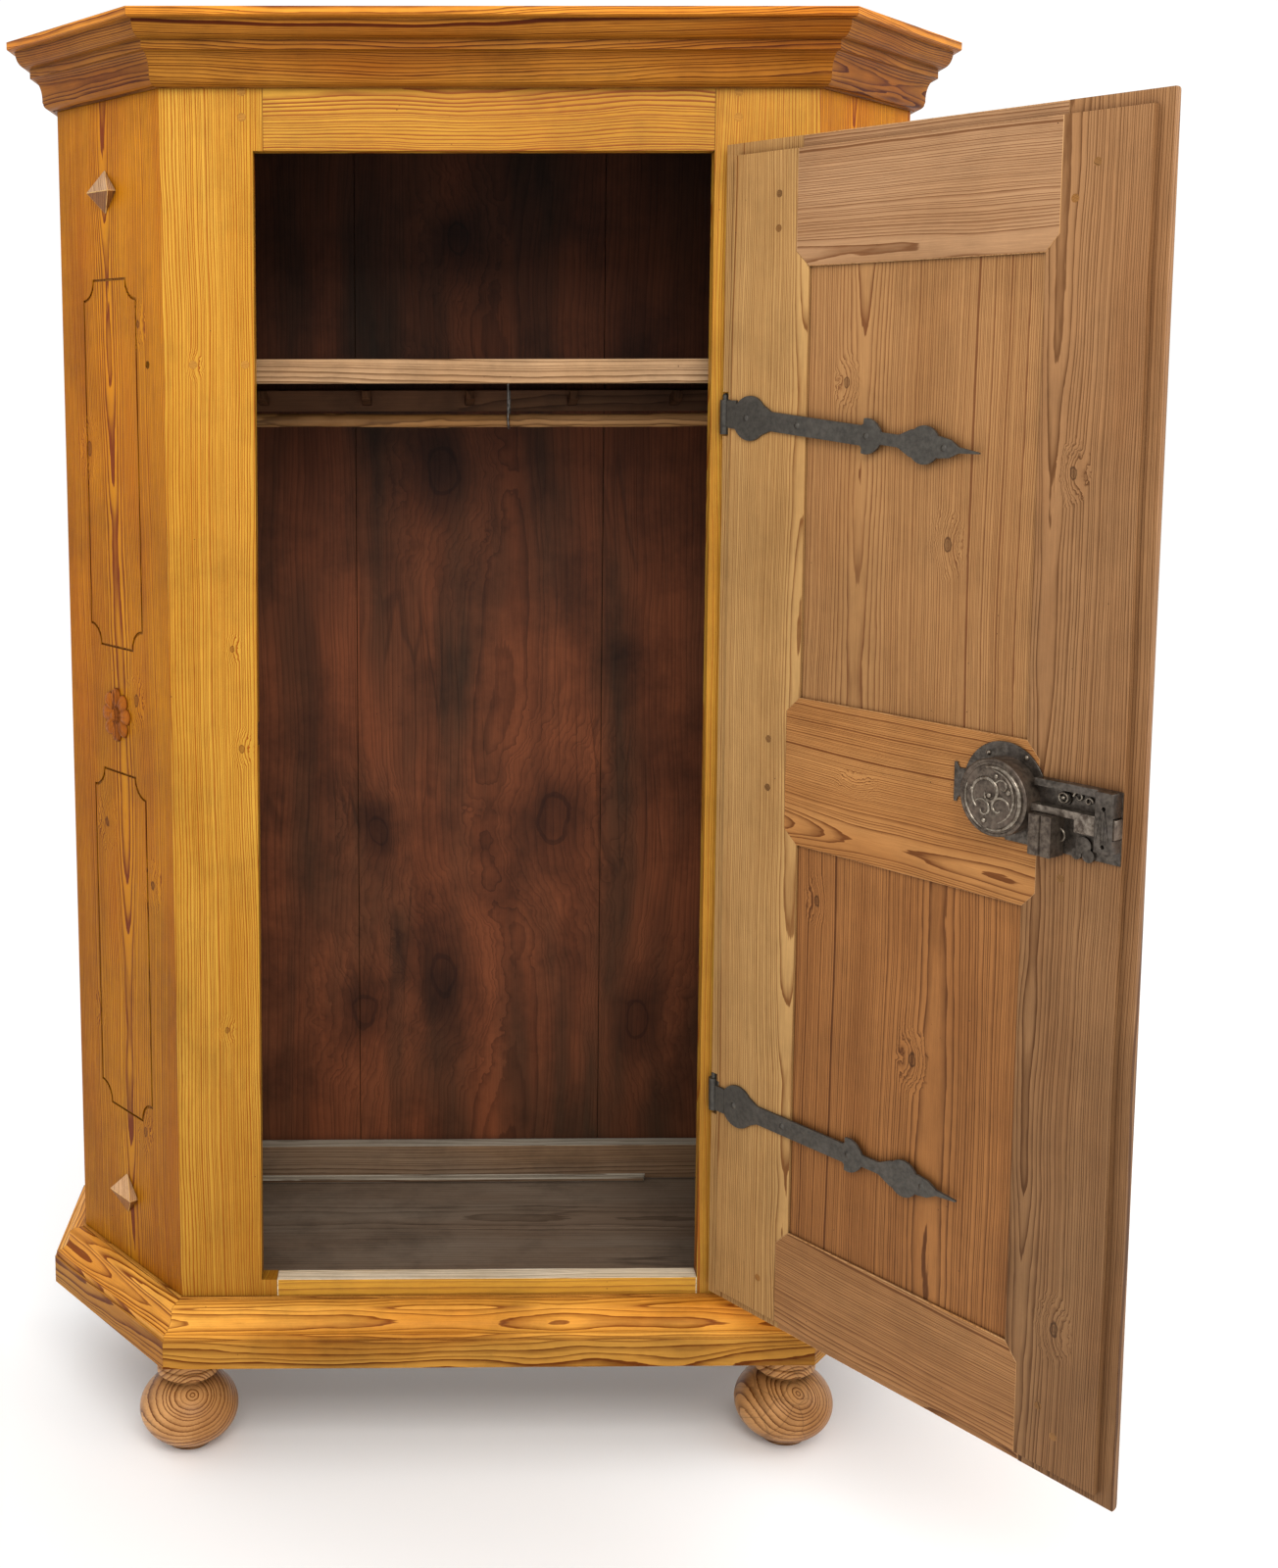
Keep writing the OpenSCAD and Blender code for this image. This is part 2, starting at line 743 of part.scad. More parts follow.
module door_mid_rail() {
    keyhole_r = 4;
    color(door_brown) on_door() difference() {
        door_rail(mid_rail_low, mid_rail_top, bevel_w, bevel_w, rail_tenons[1])
            polygon(concat(panel_edge(mid_rail_low, -1), backwards(panel_edge(mid_rail_top, 1))));
        translate([drum_x, door_in + 1, drum_z - 8]) rotate([90, 0, 0]) {
            cylinder(door_in + door_out + 2, keyhole_r, keyhole_r, $fn = 32);
            translate([-2, -14, 0]) cube([4, 14, door_in + door_out + 2]);
        }
    }
}

module door_bottom_rail() {
    color(door_brown) on_door() door_rail(door_low, low_rail_top, 0, bevel_w, rail_tenons[2])
        polygon(concat(panel_edge(low_rail_top, 1), [for (p = backwards(lip(door_low, -1))) [p[1], p[0]]],
            [[-lip_seat, leaf_low], [door_in, leaf_low]]));
}

// Panel held in the grooves, flat inside and with a raised field outside
module door_panel(low, high) {
    hold = groove_d - 2;
    x0 = -stile_in_left + bevel_w;
    x1 = stile_in_right - bevel_w;
    field = 42;
    slope = 12;
    color(door_brown) on_door() {
        translate([x0 - hold, groove_low + 0.2, low - hold])
            cube([x1 - x0 + 2 * hold, groove_high - groove_low - 0.4, high - low + 2 * hold]);
        intersection() {
            translate([0, 0, low]) linear_extrude(high - low)
                polygon([[x0 + field - slope, groove_low + 0.2], [x1 - field + slope, groove_low + 0.2],
                    [x1 - field, -door_out + 3], [x0 + field, -door_out + 3]]);
            along_x(x0, x1) polygon([[groove_low + 0.2, low + field - slope], [-door_out + 3, low + field],
                [-door_out + 3, high - field], [groove_low + 0.2, high - field + slope]]);
        }
    }
}

// ---- Strap hinges ----

// Outline of the strap's blade; X runs from the hinge axis towards the tip
module strap_outline() {
    shank = 15.4;
    blade = 11.5;
    neck = 7;
    translate([strap_start, -shank]) square([50 - strap_start, 2 * shank]);
    translate([58, 0]) circle(27, $fn = 64);
    polygon([[70, -22], [92, -blade], [238, -blade], [238, blade], [92, blade], [70, 22]]);
    intersection() {
        translate([238, 0]) circle(20.5, $fn = 64);
        translate([233, -21]) square([30, 42]);
    }
    translate([243, 0]) circle(17, $fn = 64);
    polygon([[250, -neck], [284, -neck], [300, -15], [318, -18], [318, 18], [300, 15], [284, neck], [250, neck]]);
    translate([319, 0]) circle(21.5, $fn = 64);
    translate([340, 0]) circle(12, $fn = 48);
    polygon([[340, -12], [354, -10], [366, -3.4], [393, -0.8], [393, 0.8], [366, 3.4], [354, 10], [340, 12]]);
}

strap_start = pivot_x - leaf_right - 1;

module strap(z, tilt) {
    crank_out = leaf_right + strap_t;
    crank_in = door_in + 0.5;
    color(iron) on_door() {
        // Blade on the inner face of the door
        upright(door_in, door_in + strap_t) translate([pivot_x, z]) rotate(-tilt) mirror([1, 0])
            difference() {
                strap_outline();
                for (u = strap_nail_u) translate([u, 0]) circle(nail_r + peg_gap, $fn = 24);
            }
        difference() {
            // Crank round the edge of the leaf, and the rolled eye
            union() {
                translate([0, 0, z - eye_h / 2]) linear_extrude(eye_h)
                    polygon([[leaf_right - 12, crank_in], [leaf_right, crank_in],
                        [leaf_right, pivot_y - strap_t / 2], [pivot_x - 2, pivot_y - strap_t / 2],
                        [pivot_x - 2, pivot_y + strap_t / 2], [crank_out, pivot_y + strap_t / 2],
                        [crank_out, crank_in + strap_t],
                        [leaf_right - 12, crank_in + strap_t]]);
                translate([pivot_x, pivot_y, z - eye_h / 2]) cylinder(eye_h, eye_r, eye_r, $fn = 64);
            }
            translate([pivot_x, pivot_y, z - eye_h]) cylinder(2 * eye_h, pin_r + eye_gap, pin_r + eye_gap, $fn = 64);
        }
    }
}

// Wrought nail with a low domed head, driven along Y
module nail(head_r, length) {
    dome = head_r * 1.6;
    rotate([-90, 0, 0]) {
        intersection() {
            translate([0, 0, -dome * 0.78]) sphere(dome, $fn = 32);
            cylinder(dome, head_r, head_r, $fn = 32);
        }
        translate([0, 0, -length]) cylinder(length, nail_r, nail_r, $fn = 24);
    }
}

upper_tilt = -5.2;
lower_tilt = 0;
nail_r = 1.5;
strap_nail_u = [52, 134, 238, 346];

// Nails through both straps, on the lines of the two blades
module strap_nails() {
    color(steel) on_door() for (h = [[hinge_high, upper_tilt], [hinge_lower, lower_tilt]])
        translate([pivot_x, door_in + strap_t, h[0]]) rotate([0, h[1], 0])
            for (u = strap_nail_u) translate([-u, 0, 0]) nail(4, strap_t);
}

// Wooden pegs through the door's tenons, drawn with radius r
module door_peg_set(r) {
    places = [[stile_in_right + 28, 1600], [stile_in_right + 28, 1640], [-stile_in_left - 16, 1606],
        [-stile_in_left - 40, 1640], [stile_in_right + 28, 930], [stile_in_right + 28, 990],
        [-stile_in_left - 30, 908], [stile_in_right + 28, 300], [-stile_in_left - 28, 322],
        [-stile_in_left - 48, 296]];
    for (p = places) translate([p[0], door_in, p[1]]) rotate([90, 0, 0]) cylinder(24, r, r, $fn = 32);
}

module door_pegs() {
    color(inside_dark) on_door() door_peg_set(door_peg_r);
}

// ---- Lock ----

// Sheet with a round end under the drum, a waisted tab and a square end at the door's edge
module lock_plate() {
    tab_end = drum_x + 68;
    color(steel) on_door() upright(door_in, lock_face) difference() {
        union() {
            translate([drum_x + 3, drum_z + 5]) circle(52, $fn = 96);
            translate([-leaf_left, 936]) square([leaf_left + drum_x, 76]);
            translate([drum_x, 972]) square([60, 32]);
            difference() {
                translate([drum_x + 44, 966]) square([24, 44]);
                for (z = [966, 1010]) translate([tab_end - 12, z]) circle(8, $fn = 32);
            }
        }
        translate([drum_x, drum_z - 8]) circle(5, $fn = 32);
    }
}

// Round housing over the works, open towards the plate
module lock_drum() {
    wall = 3;
    color(steel) on_door() translate([drum_x, lock_face + drum_h, drum_z]) rotate([90, 0, 0]) difference() {
        rotate_extrude($fn = 128)
            polygon([[0, 0], [drum_r - 7, 0], [drum_r - 6, 1], [drum_r - 4, 1], [drum_r - 3, 0],
                [drum_r - 1, 0], [drum_r, 1], [drum_r, drum_h], [0, drum_h]]);
        translate([0, 0, wall]) cylinder(drum_h, drum_r - wall, drum_r - wall, $fn = 128);
        // Way out for the tail of the bolt
        translate([-drum_r - 5, bolt_top - bolt_h - bolt_gap - drum_z, drum_h - bolt_t - 2])
            cube([20, bolt_h + 2 * bolt_gap, bolt_t + 3]);
    }
}

// Curled flat spring inside the drum
module lock_spring() {
    spring_h = 5;
    color(steel) on_door() translate([drum_x, lock_face + 20.5, drum_z]) rotate([90, 0, 0]) difference() {
        cylinder(spring_h, 30, 30, $fn = 96);
        translate([0, 0, -1]) cylinder(spring_h + 2, 28.5, 28.5, $fn = 96);
        translate([-40, -16, -1]) cube([40, 22, spring_h + 2]);
    }
}

// Upper bar and end plate round the bolt
module lock_bracket() {
    bar_low = 1005;
    bar_h = 8;
    bar_left = 190;
    end_w = 20;
    deep = 18;
    end_low = 950;
    color(steel) on_door() difference() {
        union() {
            translate([-leaf_left, lock_face, bar_low]) cube([leaf_left - bar_left, 11, bar_h]);
            translate([-leaf_left, lock_face, end_low]) cube([end_w, deep, bar_low + bar_h - end_low]);
        }
        translate([-leaf_left - 1, lock_face - 1, bolt_head_low - bolt_gap])
            cube([end_w + 2, bolt_t + 2, bolt_top - bolt_head_low + 2 * bolt_gap]);
        for (z = [957, 996]) translate([-leaf_left + end_w / 2, lock_face - 1, z]) rotate([-90, 0, 0])
            cylinder(deep + 2, 2, 2, $fn = 24);
    }
}

// Grooved block that carries the bolt
module lock_guide() {
    low = 934;
    top = bolt_top - bolt_h - bolt_gap;
    color(steel) on_door() translate([-221, 0, low]) linear_extrude(top - low)
        polygon([[0, lock_face], [27, lock_face], [27, 34], [15, 34], [13.5, 31], [12, 34], [0, 34]]);
}

// Leaf-shaped spring plate under the bolt, with a small round plaque above the bolt
module lock_leaf() {
    color(iron) on_door() {
        upright(lock_face, lock_face + 3) {
            translate([-246, 950]) circle(9, $fn = 48);
            translate([-252, 940]) circle(7, $fn = 48);
            translate([-238, 940]) circle(6, $fn = 48);
        }
        translate([-222, lock_face + 2.5, 995.5]) rotate([90, 0, 0]) cylinder(2.5, 7.5, 7.5, $fn = 48);
    }
}

// Keyhole plate on the outer face
module escutcheon() {
    color(iron) on_door() upright(-door_out - 1.5, -door_out) difference() {
        union() {
            translate([drum_x, drum_z - 8]) circle(17, $fn = 64);
            polygon([[drum_x - 15, drum_z - 14], [drum_x, drum_z - 50], [drum_x + 15, drum_z - 14]]);
            polygon([[drum_x - 15, drum_z - 2], [drum_x, drum_z + 30], [drum_x + 15, drum_z - 2]]);
        }
        translate([drum_x, drum_z - 8]) circle(4, $fn = 32);
        translate([drum_x - 2, drum_z - 22]) square([4, 14]);
    }
}

// Bolt, thicker at the end that enters the stile
module lock_bolt() {
    tail = drum_x - drum_r + 8;
    head_l = 48;
    color(steel) on_door() {
        translate([-bolt_end, lock_face + 0.3, bolt_head_low])
            cube([head_l, bolt_t, bolt_top - bolt_head_low]);
        translate([-bolt_end + head_l, lock_face + 0.3, bolt_top - bolt_h])
            cube([tail + bolt_end - head_l, bolt_t, bolt_h]);
    }
}

// ---- Sub-parts drawn from the shapes above ----

module side_left() {
    mirror([1, 0, 0]) side_board();
}

module side_right() {
    side_board();
}

module corner_left() {
    mirror([1, 0, 0]) corner_board();
}

module corner_right() {
    corner_board();
}

module top_rail() {
    frame_rail(open_top, carcass_top, top_tenon);
}

module bottom_rail() {
    frame_rail(carcass_low, open_low, low_tenon);
}

module floor_board_front() {
    floor_board(front_y, -gap / 2);
}

module floor_board_rear() {
    floor_board(gap / 2, back_y);
}

module foot_front_left() {
    foot(0);
}

module foot_front_right() {
    foot(1);
}

module foot_rear_left() {
    foot(2);
}

module foot_rear_right() {
    foot(3);
}

module cornice_corner_left() {
    mirror([1, 0, 0]) cornice_corner();
}

module cornice_corner_right() {
    cornice_corner();
}

module cornice_side_left() {
    mirror([1, 0, 0]) cornice_side();
}

module cornice_side_right() {
    cornice_side();
}

module plinth_corner_left() {
    mirror([1, 0, 0]) plinth_corner();
}

module plinth_corner_right() {
    plinth_corner();
}

module plinth_side_left() {
    mirror([1, 0, 0]) plinth_side();
}

module plinth_side_right() {
    plinth_side();
}

module pintle_upper() {
    pintle(hinge_high);
}

module pintle_lower() {
    pintle(hinge_lower);
}

module panel_upper() {
    door_panel(mid_rail_top + bevel_w, top_rail_low - bevel_w);
}

module panel_lower() {
    door_panel(low_rail_top + bevel_w, mid_rail_low - bevel_w);
}

module strap_upper() {
    strap(hinge_high, upper_tilt);
}

module strap_lower() {
    strap(hinge_lower, lower_tilt);
}

side_left();
side_right();
corner_left();
corner_right();
stile_left();
stile_right();
top_rail();
bottom_rail();
back_boards();
top_board();
floor_board_front();
floor_board_rear();
floor_batten();
floor_cleats();
foot_blocks();
foot_front_left();
foot_front_right();
foot_rear_left();
foot_rear_right();
cornice_front();
cornice_corner_left();
cornice_corner_right();
cornice_side_left();
cornice_side_right();
plinth_front();
plinth_corner_left();
plinth_corner_right();
plinth_side_left();
plinth_side_right();
shelf();
shelf_cleats();
clothes_rail();
rail_sockets();
rail_hook();
peg_rail();
coat_pegs();
diamond_studs();
rosettes();
frame_pegs();
pintle_upper();
pintle_lower();
hinge_stile();
lock_stile();
door_top_rail();
door_mid_rail();
door_bottom_rail();
panel_upper();
panel_lower();
strap_upper();
strap_lower();
strap_nails();
door_pegs();
lock_plate();
lock_drum();
lock_spring();
lock_bracket();
lock_guide();
lock_leaf();
escutcheon();
lock_bolt();
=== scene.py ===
import math

import bmesh
import bpy
from mathutils import Matrix, Vector, noise


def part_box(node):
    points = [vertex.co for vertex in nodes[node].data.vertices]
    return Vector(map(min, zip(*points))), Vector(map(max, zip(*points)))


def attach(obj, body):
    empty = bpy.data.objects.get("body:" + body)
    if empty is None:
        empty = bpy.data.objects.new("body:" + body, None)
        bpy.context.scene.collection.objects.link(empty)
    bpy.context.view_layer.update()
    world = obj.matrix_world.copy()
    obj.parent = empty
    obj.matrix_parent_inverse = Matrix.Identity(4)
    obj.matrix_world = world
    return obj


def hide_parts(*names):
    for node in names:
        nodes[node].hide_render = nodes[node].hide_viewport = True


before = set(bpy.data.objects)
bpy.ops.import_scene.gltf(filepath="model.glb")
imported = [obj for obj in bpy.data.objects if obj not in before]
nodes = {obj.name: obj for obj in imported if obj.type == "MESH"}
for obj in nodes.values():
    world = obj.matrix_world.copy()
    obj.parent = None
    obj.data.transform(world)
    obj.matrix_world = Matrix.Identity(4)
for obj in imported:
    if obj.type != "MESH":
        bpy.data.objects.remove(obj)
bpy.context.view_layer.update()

# ---- Camera, light and floor ----
# The wardrobe stands on a pale floor in a bright white room, seen from a little left of its middle
# at eye height. One wide soft light hangs high in front, and a weaker one stands on the right.

eye = Vector((-0.083, -2.501, 1.438))
camera = bpy.data.objects.new("eye", bpy.data.cameras.new("eye"))
aim = (Matrix.Rotation(-0.0092, 3, "Z") @ Matrix.Rotation(math.radians(90) - 0.1208, 3, "X")
       @ Matrix.Rotation(-0.0015, 3, "Z"))
camera.matrix_world = Matrix.Translation(eye) @ aim.to_4x4()
camera.data.sensor_width = 36
camera.data.lens = 42.44
camera.data.shift_x = 0.1268
camera.data.shift_y = -0.1224
bpy.context.scene.collection.objects.link(camera)
bpy.context.scene.camera = camera
bpy.context.scene.view_settings.view_transform = "Standard"

for name, place, wide, high, power, shade in (
        ("front_light", (0.4, -3.4, 3.4), 2.6, 1.6, 84, (1, 0.98, 0.95)),
        ("right_light", (3.2, -0.8, 2.2), 1.6, 2.4, 22, (0.97, 0.98, 1))):
    lamp = bpy.data.lights.new(name, "AREA")
    lamp.shape = "RECTANGLE"
    lamp.size = wide
    lamp.size_y = high
    lamp.energy = power
    lamp.color = shade
    light = bpy.data.objects.new(name, lamp)
    light.location = place
    light.rotation_euler = (Vector((0, 0, 1.0)) - light.location).to_track_quat("-Z", "Y").to_euler()
    bpy.context.scene.collection.objects.link(light)

sky = bpy.data.worlds.new("room")
sky.use_nodes = True
sky.node_tree.nodes["Background"].inputs["Color"].default_value = (1, 1, 1, 1)
sky.node_tree.nodes["Background"].inputs["Strength"].default_value = 1.05
bpy.context.scene.world = sky


def linear(code):
    """Turns an sRGB hex colour into the linear one that a shader takes."""
    parts = [int(code[i:i + 2], 16) / 255 for i in (1, 3, 5)]
    return tuple(c / 12.92 if c <= 0.04045 else ((c + 0.055) / 1.055) ** 2.4 for c in parts) + (1,)


def put(tree, kind, links=None, out=0, **settings):
    """Adds a node with its settings and its inputs' values or links, and gives one output back."""
    made = tree.nodes.new(kind)
    for name, value in settings.items():
        setattr(made, name, value)
    for key, value in (links or {}).items():
        if isinstance(value, bpy.types.NodeSocket):
            tree.links.new(value, made.inputs[key])
        else:
            made.inputs[key].default_value = value
    return made.outputs[out]


painted_floor = bpy.data.materials.new("matt_painted_floor")
painted_floor.use_nodes = True
floor_shader = painted_floor.node_tree.nodes["Principled BSDF"]
floor_shader.inputs["Base Color"].default_value = linear("#FCFCFC")
floor_shader.inputs["Roughness"].default_value = 0.9
sheet = bmesh.new()
bmesh.ops.create_grid(sheet, x_segments=1, y_segments=1, size=14)
floor_mesh = bpy.data.meshes.new("floor")
sheet.to_mesh(floor_mesh)
floor = bpy.data.objects.new("floor", floor_mesh)
floor_mesh.materials.append(painted_floor)
bpy.context.scene.collection.objects.link(floor)

# ---- Front frame: two stiles and two rails ----
# Old pine boards, planed by hand and waxed, pegged at the tenons. The heart of each log lies behind
# its board, so the rings show as long lines: pale early wood that darkens to a thin brown line.

MM = 0.001


def pine(name, heart, turn=(0, 0, 0), pale="#DCA552", mid="#C98B36", line="#8A4E16", ring=4.2,
         lean=(0, 0), wander=9, knots=(), rough=0.42, tint="#B8741F", tinted=0.35, dirt=0.25,
         contrast=1.0, cracks=0.0, seed=0, shade_by_height=(0, 0, 0), wax=0.16, corner_wax_and_shade=0.6, halo=0.0):
    """Old sawn pine. heart is a point on the log's middle line, in metres, and turn carries the
    upright board, whose grain runs along Z and face looks along -Y, to this one. ring is the width
    of a year's growth and wander how far the rings stray, in mm. lean is how far the log's middle
    line leans across and away, per unit of height. Knots are x, y, z in metres and a radius in mm.
    shade_by_height is a height, a second height and how much darker the wood is drawn at the second
    height: painted shade where less light falls. wax is how strongly the skin reflects,
    corner_wax_and_shade how much dark wax and painted shade an occlusion mask lays in the corners and
    seams, and halo how dark resin and smoke have stained the wood round a knot."""
    made = bpy.data.materials.new(name)
    made.use_nodes = True
    t = made.node_tree
    shader = t.nodes["Principled BSDF"]
    own = put(t, "ShaderNodeTexCoord", out="Object")
    log = put(t, "ShaderNodeMapping", {"Vector": own, "Location": heart, "Rotation": turn},
              vector_type="TEXTURE")

    # The log's middle line leans and wanders slowly along its length
    slow = put(t, "ShaderNodeVectorMath", {0: log, 1: (5, 5, 1.9)}, operation="MULTIPLY")
    slow = put(t, "ShaderNodeVectorMath", {0: slow, 1: (seed * 3.1, seed, seed * 7.7)}, operation="ADD")
    stray = put(t, "ShaderNodeTexNoise", {"Vector": slow, "Scale": 1, "Detail": 3, "Roughness": 0.42},
                out="Color")
    stray = put(t, "ShaderNodeVectorMath", {0: stray, 1: (0.5, 0.5, 0.5)}, operation="SUBTRACT")
    stray = put(t, "ShaderNodeVectorMath", {0: stray, "Scale": wander * 4 * MM}, operation="SCALE")
    bent = put(t, "ShaderNodeVectorMath", {0: log, 1: stray}, operation="ADD")
    split = t.nodes.new("ShaderNodeSeparateXYZ")
    t.links.new(bent, split.inputs[0])
    leaning = [put(t, "ShaderNodeMath", {0: split.outputs[2], 1: lean[i], 2: split.outputs[i]},
                   operation="MULTIPLY_ADD") for i in (0, 1)]
    radial = put(t, "ShaderNodeCombineXYZ", {0: leaning[0], 1: leaning[1]})
    radius = put(t, "ShaderNodeVectorMath", {0: radial}, out="Value", operation="LENGTH")

    # Every knot pushes the rings aside and shows as a dark disc of its own rings, wider along the grain
    knot_dark = None
    for place in knots:
        away = put(t, "ShaderNodeVectorMath", {0: own, 1: place[:3]}, operation="SUBTRACT")
        away = put(t, "ShaderNodeVectorRotate", {"Vector": away, "Rotation": turn}, invert=True,
                   rotation_type="EULER_XYZ")
        away = put(t, "ShaderNodeVectorMath", {0: away, 1: (1, 0.35, 0.62)}, operation="MULTIPLY")
        rag = put(t, "ShaderNodeVectorMath", {0: stray, 1: away}, operation="ADD")
        reach = put(t, "ShaderNodeVectorMath", {0: rag}, out="Value", operation="LENGTH")
        ragged = put(t, "ShaderNodeTexNoise", {"Vector": own, "Scale": 700 / place[3], "Detail": 3})
        ragged = put(t, "ShaderNodeMapRange", {"Value": ragged, "To Min": 0.6, "To Max": 1.4})
        reach = put(t, "ShaderNodeMath", {0: reach, 1: ragged}, operation="MULTIPLY")
        size = place[3] * MM
        push = put(t, "ShaderNodeMapRange", {"Value": reach, "From Min": size * 0.7,
                                             "From Max": size * 4.5, "To Min": size * 1.3, "To Max": 0},
                   interpolation_type="SMOOTHSTEP")
        radius = put(t, "ShaderNodeMath", {0: radius, 1: push}, operation="ADD")
        rim = put(t, "ShaderNodeMath", {0: reach, 1: 1 / size}, operation="MULTIPLY")
        disc = put(t, "ShaderNodeValToRGB", {"Fac": rim})
        bands = disc.node.color_ramp
        for at, grey in ((0.18, 0.75), (0.32, 0.45), (0.5, 0.7), (0.62, 0.4), (0.74, 0.95), (0.86, 0.9),
                         (0.96, 0.25)):
            bands.elements.new(at).color = (grey, grey, grey, 1)
        bands.elements[0].color = (0.9, 0.9, 0.9, 1)
        bands.elements[-1].color = (0, 0, 0, 1)
        if halo:
            stain = put(t, "ShaderNodeMapRange", {"Value": reach, "From Min": size * 0.5,
                                                  "From Max": size * 2.8, "To Min": halo, "To Max": 0},
                        interpolation_type="SMOOTHSTEP")
            disc = put(t, "ShaderNodeMath", {0: disc, 1: stain}, operation="MAXIMUM")
        knot_dark = disc if knot_dark is None else put(
            t, "ShaderNodeMath", {0: knot_dark, 1: disc}, operation="MAXIMUM")

    # Years: growth varies, so the spacing does too, and some years' late wood is stronger. Old pine
    # often has rings of 1 to 2 mm, too fine to show here, so most boards have them wider.
    years = put(t, "ShaderNodeMath", {0: radius, 1: 1 / (ring * MM)}, operation="MULTIPLY")
    uneven = put(t, "ShaderNodeTexNoise", {"W": years, "Scale": 0.23, "Detail": 2}, noise_dimensions="1D")
    years = put(t, "ShaderNodeMath", {0: uneven, 1: 3.4, 2: years}, operation="MULTIPLY_ADD")
    ripple_at = put(t, "ShaderNodeVectorMath", {0: log, 1: (260, 260, 26)}, operation="MULTIPLY")
    ripple = put(t, "ShaderNodeTexNoise", {"Vector": ripple_at, "Scale": 1, "Detail": 2})
    years = put(t, "ShaderNodeMath", {0: ripple, 1: 0.34, 2: years}, operation="MULTIPLY_ADD")
    part = put(t, "ShaderNodeMath", {0: years}, operation="FRACT")
    year = put(t, "ShaderNodeMath", {0: years}, operation="FLOOR")
    strong = put(t, "ShaderNodeTexWhiteNoise", {"W": year}, noise_dimensions="1D")
    late = put(t, "ShaderNodeValToRGB", {"Fac": part})
    ramp = late.node.color_ramp
    for at, grey in ((0.45, 0.12), (0.78, 0.62), (0.90, 1.0), (0.97, 0.85)):
        ramp.elements.new(at).color = (grey, grey, grey, 1)
    ramp.elements[0].color = (0, 0, 0, 1)
    ramp.elements[-1].color = (0.02, 0.02, 0.02, 1)
    strong = put(t, "ShaderNodeMapRange", {"Value": strong, "To Min": 0.5 * contrast,
                                           "To Max": 1.0 * contrast})
    late = put(t, "ShaderNodeMath", {0: late, 1: strong}, operation="MULTIPLY")

    # Colour: pale wood, broad darker tint, ring lines, fibres, knots, and dirt in patches. Real
    # fibres are far below 0.1 mm wide, and are drawn about 1 mm wide so that they show.
    broad_at = put(t, "ShaderNodeVectorMath", {0: bent, 1: (16, 16, 2.6)}, operation="MULTIPLY")
    broad = put(t, "ShaderNodeTexNoise", {"Vector": broad_at, "Scale": 1, "Detail": 4, "Roughness": 0.55})
    broad = put(t, "ShaderNodeMapRange", {"Value": broad, "From Min": 0.38, "From Max": 0.7,
                                          "To Max": 0.8})
    colour = put(t, "ShaderNodeMix", {"Factor": broad, "A": linear(pale), "B": linear(mid)}, out="Result",
                 data_type="RGBA")
    tint_at = put(t, "ShaderNodeVectorMath", {0: bent, 1: (6, 6, 1.1)}, operation="MULTIPLY")
    patch = put(t, "ShaderNodeTexNoise", {"Vector": tint_at, "Scale": 1.7, "Detail": 5})
    patch = put(t, "ShaderNodeMapRange", {"Value": patch, "From Min": 0.42, "From Max": 0.7,
                                          "To Max": tinted})
    colour = put(t, "ShaderNodeMix", {"Factor": patch, "A": colour, "B": linear(tint)}, out="Result",
                 data_type="RGBA")
    colour = put(t, "ShaderNodeMix", {"Factor": late, "A": colour, "B": linear(line)}, out="Result",
                 data_type="RGBA")
    fibre_at = put(t, "ShaderNodeVectorMath", {0: log, 1: (900, 900, 22)}, operation="MULTIPLY")
    fibre = put(t, "ShaderNodeTexNoise", {"Vector": fibre_at, "Scale": 1, "Detail": 3, "Roughness": 0.6})
    grain = put(t, "ShaderNodeMapRange", {"Value": fibre, "From Min": 0.3, "From Max": 0.75,
                                          "To Min": 1.07, "To Max": 0.82})
    colour = put(t, "ShaderNodeVectorMath", {0: colour, "Scale": grain}, operation="SCALE")
    if knot_dark is not None:
        heartwood = put(t, "ShaderNodeVectorMath", {0: linear(line)[:3], "Scale": 0.42}, operation="SCALE")
        spot = put(t, "ShaderNodeMath", {0: knot_dark, 1: 0.85}, operation="MULTIPLY")
        colour = put(t, "ShaderNodeMix", {"Factor": spot, "A": colour, "B": heartwood}, out="Result",
                     data_type="RGBA")
    grime = put(t, "ShaderNodeTexNoise", {"Vector": own, "Scale": 7, "Detail": 6, "Roughness": 0.68})
    grime = put(t, "ShaderNodeMapRange", {"Value": grime, "From Min": 0.45, "From Max": 0.75,
                                          "To Min": 1, "To Max": 1 - dirt})
    colour = put(t, "ShaderNodeVectorMath", {0: colour, "Scale": grime}, operation="SCALE")

    # Painted shade: the wood is drawn darker from the first height towards the second, where less light
    # falls
    if shade_by_height[2]:
        height = put(t, "ShaderNodeSeparateXYZ", {0: own}, out="Z")
        height = put(t, "ShaderNodeMapRange", {"Value": height, "From Min": shade_by_height[0],
                                               "From Max": shade_by_height[1], "To Min": 1,
                                               "To Max": 1 - shade_by_height[2]})
        colour = put(t, "ShaderNodeVectorMath", {0: colour, "Scale": height}, operation="SCALE")

    # Painted shade and dark wax: an ambient occlusion mask darkens the corners, the hollows and the
    # seams between boards, for the wax and dust that stay there and for the shade that falls there
    corner = put(t, "ShaderNodeAmbientOcclusion", {"Distance": 14 * MM}, out="AO", samples=4)
    corner = put(t, "ShaderNodeMapRange", {"Value": corner, "From Min": 0.3, "From Max": 0.85,
                                           "To Min": corner_wax_and_shade, "To Max": 0})
    colour = put(t, "ShaderNodeMix", {"Factor": corner, "A": colour, "B": linear("#2E1204")}, out="Result",
                 data_type="RGBA")

